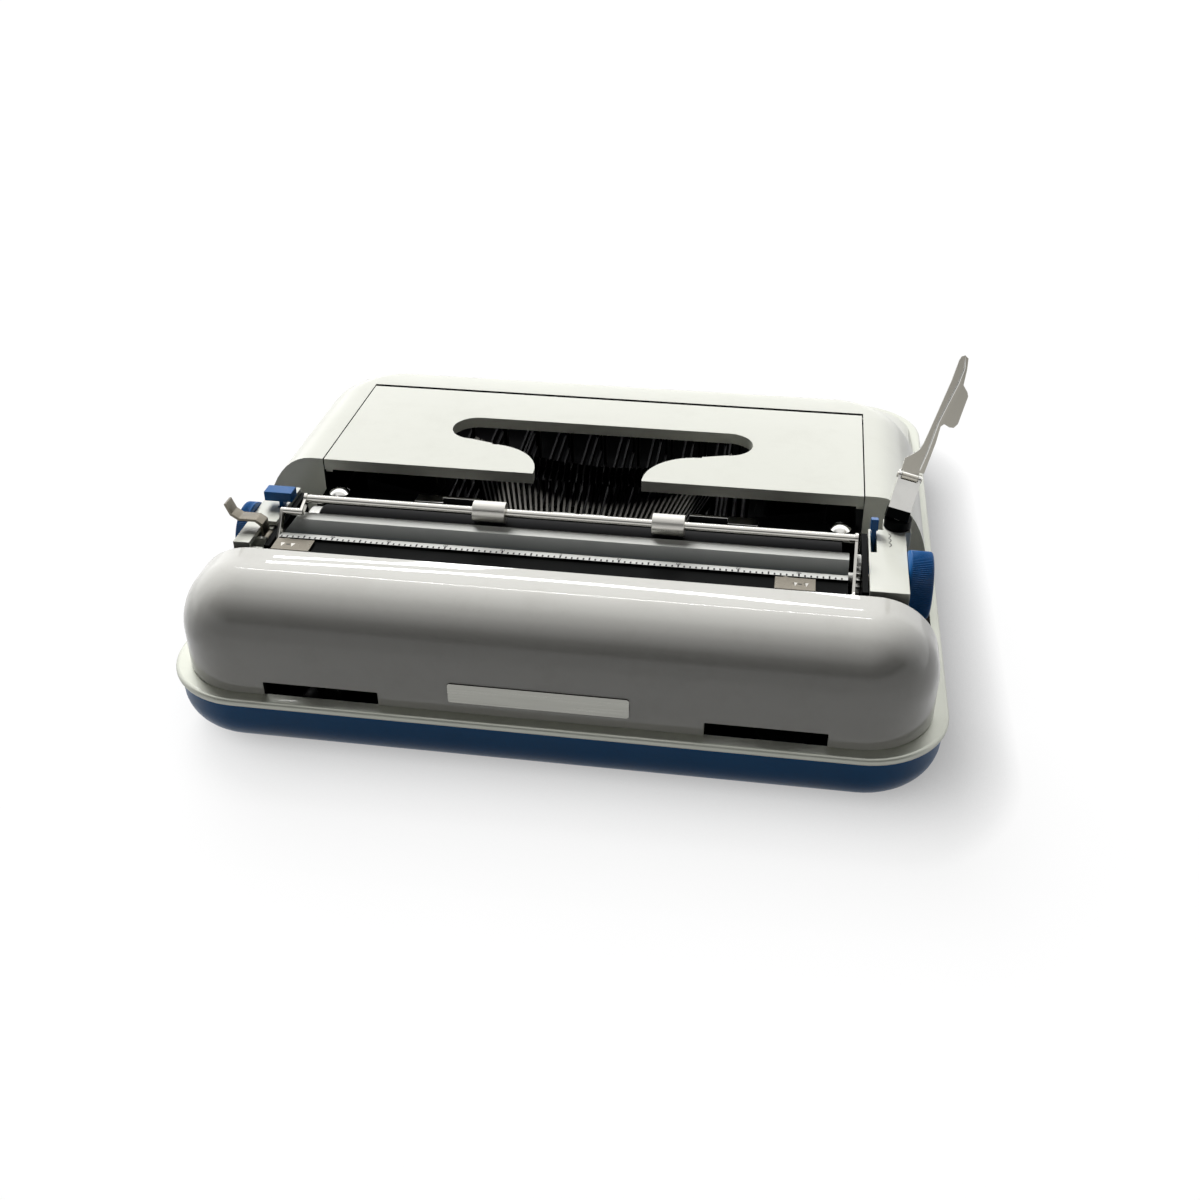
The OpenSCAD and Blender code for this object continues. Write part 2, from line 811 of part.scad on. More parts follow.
module ribbon() {
    off = spool_pack_r + 2 * gap;
    color("#18181a")
    union() {
        for (sx = [-1, 1]) {
            ribbon_run([sx * (spool_x + off), spool_y + 2], [sx * (spool_x + off), spool_y + 20]);
            ribbon_run([sx * (spool_x + off), spool_y + 19.8], [sx * guide_x, guide_y]);
            ribbon_run([sx * (guide_x + 0.2), guide_y], [sx * fork_x, fork_y]);
        }
        ribbon_run([-fork_x - 0.1, fork_y], [fork_x + 0.1, fork_y]);
    }
}

module fulcrum_shaft() {
    color(steel) bar_x(-plate_in, plate_in, fulcrum_y, fulcrum_z, fulcrum_d / 2);
}

function row_y(n) = row1_y - n * row_gap;
function row_z(n) = row1_z - n * row_step;
function row_x(n, i) = (key_rows[n][0] + i) * key_step;
space_lever_x = 3.125 * key_step;

module lever_comb() {
    slot = lever_t + 1;
    y0 = well_rear + 18;
    t = 2;
    half = side_key_x + 4;
    base = 1.8;
    top = fulcrum_z + 12;
    color(black_paint)
    difference() {
        span([-half, y0, floor_z], [half, y0 + t, top]);
        for (n = [0:3], i = [key_rows[n][1]:key_rows[n][2]])
            translate([row_x(n, i) - slot / 2, y0 - 1, floor_z + base]) cube([slot, t + 2, top]);
        for (x = [space_lever_x, shift_x, side_key_x], sx = [-1, 1])
            translate([sx * x - slot / 2, y0 - 1, floor_z + base]) cube([slot, t + 2, top]);
    }
}

// Key lever: an eye on the fulcrum, an arm to the front and a stem up to the key top.
module key_lever(x, y, z_top) {
    half = arm_h / 2;
    along_x(x - lever_t / 2, x + lever_t / 2)
        difference() {
            union() {
                translate([fulcrum_y, fulcrum_z]) circle(r = fulcrum_d / 2 + eye_wall);
                polygon([[fulcrum_y, fulcrum_z - half], [fulcrum_y, fulcrum_z + half], [y, arm_z + half],
                    [y - stem_d / 2, arm_z + half], [y - stem_d / 2, arm_z - half], [y, arm_z - half]]);
                translate([y - stem_d / 2, arm_z - half]) square([stem_d, z_top - arm_z + half]);
            }
            translate([fulcrum_y, fulcrum_z]) circle(r = fulcrum_d / 2 + run);
        }
}

// Key top: a block with round corners.
module key_top(x, y, z, w, d, h) {
    r = 2.5;
    translate([x, y, z - h])
        linear_extrude(h)
            union() {
                square([w - 2 * r, d], center = true);
                square([w, d - 2 * r], center = true);
                for (sx = [-1, 1], sy = [-1, 1])
                    translate([sx * (w / 2 - r), sy * (d / 2 - r)]) circle(r = r, $fn = 24);
            }
}

// The middle key of the third row is the live one, so it is left out of its row.
function in_row(n, i) = !(n == 2 && i == 0);

module row_keys(n) {
    color(key_black)
    for (i = [key_rows[n][1]:key_rows[n][2]])
        if (in_row(n, i))
            key_top(row_x(n, i), row_y(n), row_z(n), key_w, key_d, key_h);
}

module row_levers(n) {
    color(steel)
    for (i = [key_rows[n][1]:key_rows[n][2]])
        if (in_row(n, i))
            key_lever(row_x(n, i), row_y(n), row_z(n) - key_h);
}

module live_key() {
    color(key_black) key_top(0, row_y(2), row_z(2), key_w, key_d, key_h);
}

module live_lever() {
    color(steel) key_lever(0, row_y(2), row_z(2) - key_h);
}

module space_bar() {
    color(key_black) key_top(0, space_y, space_z, space_len, space_d, space_h);
}

module space_lever() {
    color(steel)
    for (sx = [-1, 1])
        key_lever(sx * space_lever_x, space_y, space_z - space_h);
}

module shift_keys() {
    color(key_black)
    for (sx = [-1, 1])
        key_top(sx * shift_x, row_y(3), row_z(3), shift_w, key_d, key_h);
}

// Both shift levers joined by one cross rod behind the fulcrum.
module shift_yoke() {
    color(steel)
    union() {
        for (sx = [-1, 1]) {
            key_lever(sx * shift_x, row_y(3), row_z(3) - key_h);
            span([sx * shift_x - lever_t / 2, fulcrum_y + 3.5, yoke_z - 2],
                [sx * shift_x + lever_t / 2, yoke_y, yoke_z + 2]);
        }
        bar_x(-shift_x, shift_x, yoke_y, yoke_z, yoke_r);
    }
}

// A wide key of the first row on its own lever.
module side_key(lever_x, cap_x, w) {
    key_lever(lever_x, row_y(0), row_z(0) - key_h / 2);
    key_top(cap_x, row_y(0), row_z(0), w, key_d, key_h);
}

module backspace_key() {
    color(key_black) side_key(side_key_x, back_key_x, back_key_w);
}

module margin_release_key() {
    color(key_black) side_key(-side_key_x, release_key_x, release_key_w);
}

module ribbon_selector() {
    half = 0.8;
    top = row_z(1) + 2;
    color(key_black)
    union() {
        along_x(selector_x - half, selector_x + half)
            difference() {
                union() {
                    translate([selector_y, selector_z]) circle(r = 3.5);
                    translate([selector_y - 2, selector_z]) square([4, top - selector_z]);
                }
                translate([selector_y, selector_z]) circle(r = bail_pin_r + run);
            }
        span([selector_x - 3, selector_y - 4, top - 5], [selector_x + 3, selector_y + 4, top]);
    }
}

module spool(sx) {
    flange = 0.7;
    hub_top = ribbon_z + ribbon_h + gap + flange;
    color(black_paint)
    translate([sx * spool_x, spool_y, 0])
        difference() {
            union() {
                translate([0, 0, deck_z + deck_t + gap]) cylinder(r = spool_r, h = flange);
                translate([0, 0, deck_z + deck_t + gap]) cylinder(r = spool_pack_r, h = hub_top - deck_z - deck_t - gap);
                translate([0, 0, hub_top - flange]) cylinder(r = spool_r, h = flange);
            }
            translate([0, 0, deck_z]) cylinder(r = spool_post_r + run, h = 40);
        }
}

module spool_left() {
    spool(-1);
}

module spool_right() {
    spool(1);
}

// The two rods that the carriage runs on, held between the side plates.
module carriage_rails() {
    color(steel)
    for (y = rail_y)
        bar_x(-plate_in, plate_in, y, rail_z, rail_d / 2);
}

// Star outline of a toothed wheel.
module star(r_out, r_in, teeth) {
    polygon([for (i = [0:2 * teeth - 1]) let (r = i % 2 == 0 ? r_out : r_in, a = 180 * i / teeth)
        [r * cos(a), r * sin(a)]]);
}

module escape_wheel() {
    teeth = 24;
    color("#b59a55")
    translate([0, wheel_y, pinion_z])
        difference() {
            union() {
                cylinder(r = pinion_r, h = pinion_h);
                translate([0, 0, pinion_h]) linear_extrude(2) star(wheel_r, wheel_r - 1.5, teeth);
            }
            translate([0, 0, -1]) cylinder(r = post_r + run, h = pinion_h + 5);
        }
}

module spring_drum() {
    color("#b59a55")
    translate([drum_x, drum_y, drum_z])
        difference() {
            union() {
                cylinder(r = drum_r, h = 1);
                cylinder(r = drum_r - 1.5, h = drum_h);
                translate([0, 0, drum_h - 1]) cylinder(r = drum_r, h = 1);
            }
            translate([0, 0, -1]) cylinder(r = post_r + run, h = drum_h + 2);
        }
}

module bell() {
    r = 11;
    t = 1;
    color("#c8a85a")
    translate([bell_x, drum_y, drum_z])
        difference() {
            intersection() {
                translate([0, 0, 1]) sphere(r = r);
                cylinder(r = r + 1, h = r + 1);
            }
            difference() {
                translate([0, 0, 1]) sphere(r = r - t);
                translate([0, 0, -r]) cylinder(r = post_r + 1, h = 3 * r);
            }
            translate([0, 0, -r]) cylinder(r = post_r + run, h = 3 * r);
        }
}

module carriage_frame() {
    color(black_paint)
    difference() {
        union() {
            span([-end_out, bed_y0, bed_z], [end_out, bed_y1, bed_top]);
            both_sides() {
                span([end_in, bed_y0, bed_z], [end_out, bed_y1, end_top]);
                for (y = rail_y)
                    span([bush_x - bush_w / 2, y - bush_d / 2, rail_z - 5],
                        [bush_x + bush_w / 2, y + bush_d / 2, bed_z + 1]);
            }
            // rack along the rear edge
            span([-rack_half, rack_y - rack_d, bed_z], [rack_half, rack_y, bed_top + rack_h]);
            // pivot pins of the two setting levers
            bar_x(end_out - 1, end_out + 6, release_y, release_z, bail_pin_r);
            bar_x(-end_out - 6, -end_out + 1, selector_pin_y, selector_pin_z, bail_pin_r);
        }
        for (y = rail_y)
            bar_x(-bush_x - bush_w, bush_x + bush_w, y, rail_z, rail_d / 2 + run);
        bar_x(-end_out - 1, end_out + 1, platen_y, platen_z, shaft_d / 2 + run);
        bar_x(-end_out - 1, end_out + 1, bail_pivot_y, bail_pivot_z, bail_pin_r + run);
        bar_x(-end_out - 1, end_out + 1, feed_y, feed_z, feed_pin_r + run);
    }
}

// Paper table: a bar behind the platen with a curved apron under it.
module paper_table() {
    inner = platen_r + table_gap;
    apron = inner + 1.4;
    rib_x = 60;
    color("#b4b7b9")
    difference() {
        union() {
            along_x(table_left, table_right)
                polygon([[platen_y + 5.2, platen_z + 16.1], [platen_y + 4, platen_z + 12], [platen_y + 12, platen_z + 6],
                    [platen_y + 14.7, platen_z + 10.9], [platen_y + 10.6, platen_z + 15.8]]);
            difference() {
                bar_x(table_left, table_right, platen_y, platen_z, apron);
                span([table_left - 1, platen_y - 40, platen_z - 40], [table_right + 1, platen_y + 5, platen_z + 40]);
                span([table_left - 1, platen_y, platen_z + 9.5], [table_right + 1, platen_y + 40, platen_z + 40]);
            }
            both_sides()
                span([rib_x, platen_y + 10, bed_top], [rib_x + 3, platen_y + 14, platen_z - 10]);
        }
        bar_x(table_left - 1, table_right + 1, platen_y, platen_z, inner);
        // slanting end on the right
        translate([0, platen_y + 40, platen_z])
            rotate([90, 0, 0])
                linear_extrude(80)
                    polygon([[table_right + 1.2, 9.5], [table_right + 1.2, 18], [table_right - 6, 18]]);
    }
}

module margin_scale() {
    color("#eceeea")
    span([scale_left, scale_y, scale_z], [scale_right, scale_y + scale_d + 0.6, scale_z + scale_t]);
}

// Black rail that the margin stops run on, carried between the end plates.
module margin_rail() {
    low = bail_pivot_z - 8;
    color(black_paint)
    union() {
        span([scale_left, scale_y + 1.4, scale_z - 1.5], [scale_right, margin_y1, scale_z]);
        span([scale_left, margin_y0 + 2, low], [scale_right, margin_y1, scale_z]);
        span([-end_in, margin_y0 + 2, low], [end_in, margin_y1 - 2, low + 4]);
    }
}

// A bent plate that straddles the margin rail, with a small pointer.
module margin_stop(x) {
    t = 1;
    plate_z = scale_z + gap;
    y0 = margin_y0 + 2;
    point = stop_w / 2 - 4.5;
    color(chrome)
    union() {
        span([x - stop_w / 2, y0, plate_z], [x + stop_w / 2, margin_y1 + gap + t, plate_z + t]);
        span([x - stop_w / 2, margin_y1 + gap, plate_z - 5], [x + stop_w / 2, margin_y1 + gap + t, plate_z + t]);
        translate([x, y0, plate_z])
            linear_extrude(t)
                polygon([[point - 1.6, 0.2], [point, -1], [point + 1.6, 0.2]]);
    }
}

module margin_stop_left() {
    margin_stop(stop_left_x);
}

module margin_stop_right() {
    margin_stop(stop_right_x);
}

release_y = platen_y - 8.5;
release_z = platen_z - 7.5;
release_in = end_out + 2;
release_t = 2;
selector_pin_y = platen_y - 15;
selector_pin_z = platen_z - 8.5;
selector_in = end_out + 1.5;
selector_t = 2;
selector_lean = 14;

module end_cover_left() {
    slot_y1 = selector_pin_y + 10;
    ear_w = 6;
    color(cover_grey)
    union() {
        difference() {
            span([-left_out, cover_y0, cover_z0], [-end_out - gap, cover_y1, cover_top]);
            span([-left_out + cover_t, cover_y0 + cover_t, cover_z0 - 1], [-end_out, cover_y1 - cover_t, cover_top - cover_t]);
            bar_x(-left_out - 1, -end_out + 1, platen_y, platen_z, shaft_d / 2 + 2 * gap);
            span([-selector_in - selector_t - gap, cover_y0 + cover_t, cover_top - cover_t - 1],
                [-selector_in + gap, slot_y1, cover_top + 1]);
        }
        // ear and pin of the return lever
        span([swing_x - ear_w, swing_y - ear_w, cover_top - ear_h], [swing_x + ear_w, cover_y0 + 1, cover_top]);
        translate([swing_x, swing_y, cover_top - 1]) cylinder(r = swing_pin_r, h = 5.5);
    }
}

module end_cover_right() {
    slot_y0 = release_y - 13;
    notch_x = 136.2;
    ear = 2.2;
    side = press_d / 2 + gap;
    color(cover_grey)
    union() {
        difference() {
            span([end_out + gap, cover_y0, cover_z0], [right_out, cover_y1, cover_top]);
            span([end_out, cover_y0 + cover_t, cover_z0 - 1], [right_out - cover_t, cover_y1 - cover_t, cover_top - cover_t]);
            bar_x(end_out - 1, right_out + 1, platen_y, platen_z, shaft_d / 2 + 2 * gap);
            span([release_in - gap, slot_y0, cover_top - cover_t - 1],
                [release_in + release_t + gap, release_y + 3.5, cover_top + 1]);
            // open corner round the foot of the carriage release
            span([end_out, press_y - side - ear, cover_top - cover_t - 1], [notch_x, cover_y1 + 1, cover_top + 1]);
        }
        // ears that hold the pin of the carriage release
        for (y = [press_y - side - ear, press_y + side])
            span([press_x - 2, y, press_z - 3], [right_out - cover_t / 2, y + ear, press_z + 3]);
        translate([press_x, press_y - side - 1, press_z]) rotate([-90, 0, 0]) cylinder(r = bail_pin_r, h = 2 * side + 2);
    }
}

module platen() {
    color(rubber_black)
    difference() {
        bar_x(platen_left, platen_right, platen_y, platen_z, platen_r);
        bar_x(platen_left - 1, platen_right + 1, platen_y, platen_z, shaft_d / 2 + run);
    }
}

module platen_shaft() {
    teeth = 24;
    wheel_out = 11;
    wheel_x = -end_in + gap;
    hub_w = 5;
    color(steel)
    union() {
        bar_x(-left_out - gap - knob_w + 2, right_out + gap + right_knob_w - 2, platen_y, platen_z, shaft_d / 2);
        bar_x(platen_right + gap, platen_right + gap + hub_w, platen_y, platen_z, platen_r - 1.2);
        translate([wheel_x, platen_y, platen_z]) rotate([90, 0, 90]) linear_extrude(2) star(wheel_out, wheel_out - 1.4, teeth);
    }
}

module platen_knobs() {
    color(pan_blue)
    difference() {
        union() {
            bar_x(-left_out - gap - knob_w, -left_out - gap, platen_y, platen_z, knob_d / 2);
            bar_x(right_out + gap, right_out + gap + right_knob_w, platen_y, platen_z, knob_d / 2);
        }
        bar_x(-left_out - gap - knob_w + 2, right_out + gap + right_knob_w - 2, platen_y, platen_z, shaft_d / 2 + run);
    }
}

module feed_roller() {
    color(rubber_black)
    union() {
        bar_x(-end_out + gap, end_out - gap, feed_y, feed_z, feed_pin_r);
        for (k = [-1:1])
            bar_x(k * feed_pitch - feed_w / 2, k * feed_pitch + feed_w / 2, feed_y, feed_z, feed_r);
    }
}

// A bar with round ends between two places in a side profile.
module link(a, b, r) {
    d = b - a;
    translate(a) circle(r = r);
    translate(b) circle(r = r);
    translate(a) rotate(atan2(d[1], d[0])) translate([0, -r]) square([norm(d), 2 * r]);
}

// Paper bail: a rod over the platen on two arms that turn at the rear; the right arm has a knee.
module bail() {
    rod = [bail_rod_y, bail_rod_z];
    knee = [bail_knee_y, bail_knee_z];
    pivot = [bail_pivot_y, bail_pivot_z];
    eye = bail_d / 2 + 0.6;
    arm = 1.6;
    color(chrome)
    union() {
        bar_x(-bail_arm_x - bail_arm_t, bail_near_x + bail_arm_t, bail_rod_y, bail_rod_z, bail_d / 2);
        along_x(-bail_arm_x - bail_arm_t, -bail_arm_x) {
            link(rod, pivot, arm);
            translate(pivot) circle(r = 3);
            translate(rod) circle(r = eye);
        }
        along_x(bail_near_x, bail_near_x + bail_arm_t) {
            link(rod, knee, arm);
            translate(rod) circle(r = eye);
        }
        bar_x(bail_near_x, bail_far_x + bail_arm_t, bail_knee_y, bail_knee_z, arm);
        along_x(bail_far_x, bail_far_x + bail_arm_t) {
            link(knee, pivot, arm);
            translate(pivot) circle(r = 3);
        }
        bar_x(-end_out + gap, -bail_arm_x, bail_pivot_y, bail_pivot_z, bail_pin_r);
        bar_x(bail_far_x, end_out - gap, bail_pivot_y, bail_pivot_z, bail_pin_r);
    }
}

module bail_rollers() {
    color(steel)
    for (x = roller_x)
        difference() {
            bar_x(x[0], x[1], bail_rod_y, bail_rod_z, bail_roller_d / 2);
            bar_x(x[0] - 1, x[1] + 1, bail_rod_y, bail_rod_z, bail_d / 2 + run);
        }
}

// Leaning frame of the return lever: local Z runs up the clevis, local X is its folding pin.
module lever_lean() {
    translate([swing_x, swing_y, cover_top + 5])
        rotate([lean, 0, 0])
            translate([clevis_x, 0, 0]) rotate([0, -clevis_slant, 0]) children();
}

module lever_bracket() {
    base_r = 6;
    base_h = 4;
    ear_r = 2.4;
    inner = clevis_w / 2 - clevis_t;
    color(chrome)
    difference() {
        union() {
            translate([swing_x, swing_y, cover_top + gap]) cylinder(r = base_r, h = base_h);
            lever_lean()
                difference() {
                    along_x(-clevis_w / 2, clevis_w / 2)
                        union() {
                            translate([-clevis_d / 2, -1]) square([clevis_d, clevis_l + 1]);
                            translate([-ear_r, clevis_l - 5]) square([2 * ear_r, fold_at - clevis_l + 5]);
                            translate([0, fold_at]) circle(r = ear_r);
                        }
                    span([-inner, -clevis_d / 2 - 1, 3], [inner, clevis_d / 2 - clevis_t, 2 * clevis_l]);
                    span([-inner, -clevis_d, clevis_l], [inner, clevis_d, 2 * clevis_l]);
                    translate([-clevis_w, 0, fold_at]) rotate([0, 90, 0]) cylinder(r = fold_pin_r + run, h = 2 * clevis_w);
                }
        }
        translate([swing_x, swing_y, cover_top - 1]) cylinder(r = swing_pin_r + run, h = 6);
    }
}

// Return lever: a bent plate with a thumb tab, folding on a pin in the clevis.
module return_lever() {
    inner_w = clevis_w - 2 * clevis_t - 2 * gap;
    half = inner_w / 2;
    foot_z = fold_at + 2.6;
    flange_t = 1.2;
    color("#a8a49a")
    lever_lean()
        union() {
            span([-half, -arm_t / 2, fold_at], [half, arm_t / 2, foot_z + 1]);
            translate([-half, 0, fold_at]) rotate([0, 90, 0]) cylinder(r = 2.2, h = inner_w);
            translate([-clevis_w / 2 - 0.6, 0, fold_at]) rotate([0, 90, 0]) cylinder(r = fold_pin_r, h = clevis_w + 1.2);
            // face of the arm, stretched to the length asked for
            translate([0, arm_t / 2, foot_z])
                scale([1, 1, lever_l / 70])
                    rotate([90, 0, 0])
                        linear_extrude(arm_t)
                            translate([0, -20.6]) lever_face();
            // flange beside it, set back, with the thumb tab
            translate([0, 0, foot_z])
                scale([1, 1, lever_l / 70])
                    rotate([90, 0, 0])
                        linear_extrude(flange_t)
                            translate([0, -20.6]) lever_flange();
        }
}

module lever_face() {
    polygon([[-3.5, 21], [4.4, 20.4], [4.4, 25.6], [1.8, 28.1], [-0.4, 30.6], [-1.3, 33.6],
        [-4.3, 62.6], [-4.7, 71.9], [-5.2, 73.7], [-6.6, 74.6], [-8.3, 69.1], [-7.9, 62.1],
        [-4.9, 44.3], [-4.4, 31.7]]);
}

module lever_flange() {
    polygon([[-3.5, 21], [-3.8, 31.7], [-4.3, 44.3], [-7.4, 62.1], [-7.7, 69], [-6.6, 74.6],
        [-8.4, 73.7], [-9.3, 69], [-9.9, 62.3], [-12.4, 59.9], [-13.3, 58.2], [-12.8, 45.8],
        [-11.6, 43.7], [-9.8, 43.4], [-7.2, 44.1], [-6.1, 42.7], [-6.3, 35.4], [-5.6, 21.2]]);
}

// Paper release: a finger tab on a stem that turns inside the right end cover.
module paper_release() {
    tab_z = cover_top + 3.2;
    x0 = release_in;
    color(pan_blue)
    union() {
        along_x(x0, x0 + release_t)
            translate([release_y, release_z])
                difference() {
                    union() {
                        circle(r = 3.2);
                        translate([-2, 0]) square([4, tab_z - release_z + 1]);
                    }
                    circle(r = bail_pin_r + run);
                }
        span([x0 - 5, release_y - 3.5, tab_z], [x0 + 8, release_y + 3.5, tab_z + 4.5]);
    }
}

module line_selector() {
    tall = cover_top - selector_pin_z + 4;
    color(pan_blue)
    translate([0, selector_pin_y, selector_pin_z])
        rotate([selector_lean, 0, 0])
            union() {
                along_x(-selector_in - selector_t, -selector_in)
                    difference() {
                        union() {
                            circle(r = 3.2);
                            translate([-1.6, 0]) square([3.2, tall]);
                        }
                        circle(r = bail_pin_r + run);
                    }
                span([-selector_in - selector_t - 0.6, -2.3, tall - 1], [-selector_in + 0.6, 2.3, tall + 4]);
            }
}

press_x = end_out + 3.5;
press_y = platen_y + 13.3;
press_z = cover_top - 5.5;
press_d = 6.6;

// Carriage release: a chrome strip bent like an S, pressed down at its outer end.
module carriage_release() {
    t = 1.2;
    rise = 9;
    reach = 10;
    color(chrome)
    difference() {
        translate([press_x, press_y + press_d / 2, press_z])
            rotate([90, 0, 0])
                linear_extrude(press_d)
                    union() {
                        circle(r = 2.8);
                        polygon([[-0.6, 0], [0.6, 0], [0.6, rise - 1.2], [2.9, rise + 2 - t], [reach + 0.4, rise + 2 - t],
                            [reach + 4, rise + 3.2], [reach + 6.1, rise + 8.6], [reach + 5, rise + 9],
                            [reach + 3, rise + 4], [reach, rise + 2], [2.4, rise + 2], [-0.6, rise]]);
                    }
        translate([press_x, press_y - press_d, press_z]) rotate([-90, 0, 0]) cylinder(r = bail_pin_r + run, h = 2 * press_d);
    }
}

base_pan();
rim_trim();
rear_cover();
top_cover();
rear_plate();
rubber_feet();
foot_screws();
main_frame();
deck_studs();
segment();
typebars();
type_guide();
ribbon_guides();
ribbon();
fulcrum_shaft();
lever_comb();
bell();
spool_left();
spool_right();
ribbon_cover();
row_keys(0);  // keys_row_1
row_levers(0);  // levers_row_1
row_keys(1);  // keys_row_2
row_levers(1);  // levers_row_2
row_keys(2);  // keys_row_3
row_levers(2);  // levers_row_3
row_keys(3);  // keys_row_4
row_levers(3);  // levers_row_4
live_key();
live_lever();
live_typebar();
space_bar();
space_lever();
shift_keys();
shift_yoke();
backspace_key();
margin_release_key();
ribbon_selector();
carriage_rails();
escape_wheel();
spring_drum();
carriage_frame();
paper_table();
margin_scale();
margin_rail();
margin_stop_left();
margin_stop_right();
end_cover_left();
end_cover_right();
platen();
platen_shaft();
platen_knobs();
feed_roller();
bail();
bail_rollers();
lever_bracket();
return_lever();
paper_release();
line_selector();
carriage_release();
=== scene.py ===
"""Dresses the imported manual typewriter: enamelled covers, plated metalwork, rubber, keys and scale.

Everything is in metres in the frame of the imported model. The camera stands behind and above the machine.
"""

import json
import math

import bmesh
import bpy
import numpy as np
from mathutils import Matrix, Vector


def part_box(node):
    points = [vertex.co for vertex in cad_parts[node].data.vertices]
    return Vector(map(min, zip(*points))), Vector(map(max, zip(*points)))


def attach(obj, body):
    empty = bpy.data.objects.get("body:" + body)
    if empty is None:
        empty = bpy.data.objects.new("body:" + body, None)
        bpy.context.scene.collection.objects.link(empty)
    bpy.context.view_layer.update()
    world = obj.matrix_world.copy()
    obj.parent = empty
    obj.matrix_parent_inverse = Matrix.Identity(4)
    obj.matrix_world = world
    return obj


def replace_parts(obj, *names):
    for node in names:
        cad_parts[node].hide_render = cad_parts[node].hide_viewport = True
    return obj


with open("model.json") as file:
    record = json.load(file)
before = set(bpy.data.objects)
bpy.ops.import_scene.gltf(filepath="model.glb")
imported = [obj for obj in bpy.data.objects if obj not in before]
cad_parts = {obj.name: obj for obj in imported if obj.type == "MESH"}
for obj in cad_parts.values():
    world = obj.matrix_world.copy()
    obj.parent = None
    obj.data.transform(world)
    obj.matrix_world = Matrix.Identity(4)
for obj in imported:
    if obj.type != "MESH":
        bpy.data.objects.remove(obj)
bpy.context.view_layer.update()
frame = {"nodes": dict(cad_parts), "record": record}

MM = 0.001
SCENE = bpy.context.scene
BODY_OF = {node: body for body, nodes in frame["record"]["behaviour"]["bodies"].items() for node in nodes}


def hex_linear(code):
    """An sRGB hex colour as linear RGBA."""
    srgb = [int(code[i:i + 2], 16) / 255 for i in (1, 3, 5)]
    return [c / 12.92 if c <= 0.04045 else ((c + 0.055) / 1.055) ** 2.4 for c in srgb] + [1.0]


def add(tree, kind, values=None, links=None, **settings):
    """A node of one kind with its settings, constant inputs and linked inputs."""
    node = tree.nodes.new(kind)
    for name, value in settings.items():
        setattr(node, name, value)
    for name, value in (values or {}).items():
        node.inputs[name].default_value = value
    for name, socket in (links or {}).items():
        tree.links.new(socket, node.inputs[name])
    return node


def finish_of(name, colour, **sockets):
    """An empty material with one principled shader; the sockets hold constants. Returns material, tree and shader."""
    material = bpy.data.materials.new(name)
    material.use_nodes = True
    tree = material.node_tree
    shader = tree.nodes["Principled BSDF"]
    shader.inputs["Base Color"].default_value = hex_linear(colour)
    for key, value in sockets.items():
        shader.inputs[key.replace("_", " ")].default_value = value
    return material, tree, shader


def per_mm(size_mm):
    """The noise scale that gives features of this size in millimetres on Object coordinates in metres."""
    return 1000.0 / size_mm


def enamel(name, colour, worn, rough=(0.3, 0.45), peel=0.05, coat=0.2, dull=0.1, flake=0.0, painted_shade_to=None,
           coat_rough=0.006):
    """Stoved enamel on sheet steel: glossy, with a faint orange peel, hand marks in the gloss and a little dirt.

    painted_shade_to gives two heights: from the first down to the second the colour darkens to the worn colour, a
    painted shade laid over the dirt."""
    material, tree, shader = finish_of(name, colour, Coat_Weight=coat, Coat_Roughness=coat_rough,
                                       Specular_IOR_Level=dull, Metallic=flake)
    place = add(tree, "ShaderNodeTexCoord").outputs["Object"]
    marks = add(tree, "ShaderNodeTexNoise", {"Scale": per_mm(46), "Detail": 6.0, "Roughness": 0.6}, {"Vector": place})
    gloss = add(tree, "ShaderNodeMapRange",
                {"From Min": 0.35, "From Max": 0.75, "To Min": rough[0], "To Max": rough[1]},
                {"Value": marks.outputs["Fac"]})
    tree.links.new(gloss.outputs["Result"], shader.inputs["Roughness"])
    grime = add(tree, "ShaderNodeTexNoise", {"Scale": per_mm(22), "Detail": 8.0, "Roughness": 0.7}, {"Vector": place})
    film = add(tree, "ShaderNodeMapRange", {"From Min": 0.5, "From Max": 0.8, "To Min": 0.0, "To Max": 0.35},
               {"Value": grime.outputs["Fac"]})
    cover = film.outputs["Result"]
    # Painted shade: the colour darkens downwards between the two heights, on top of the dirt
    if painted_shade_to:
        height = add(tree, "ShaderNodeSeparateXYZ", links={"Vector": place}).outputs["Z"]
        painted_shade = add(tree, "ShaderNodeMapRange", {"From Min": painted_shade_to[0], "From Max": painted_shade_to[1]}, {"Value": height})
        most = add(tree, "ShaderNodeMath", links={0: cover, 1: painted_shade.outputs["Result"]}, operation="MAXIMUM")
        cover = most.outputs[0]
    tint = add(tree, "ShaderNodeMix", {"A": hex_linear(colour), "B": hex_linear(worn)}, {"Factor": cover},
               data_type="RGBA")
    tree.links.new(tint.outputs["Result"], shader.inputs["Base Color"])
    skin = add(tree, "ShaderNodeTexNoise", {"Scale": per_mm(2.4), "Detail": 2.0}, {"Vector": place})
    bump = add(tree, "ShaderNodeBump", {"Strength": peel, "Distance": 0.2 * MM}, {"Height": skin.outputs["Fac"]})
    tree.links.new(bump.outputs["Normal"], shader.inputs["Normal"])
    return material


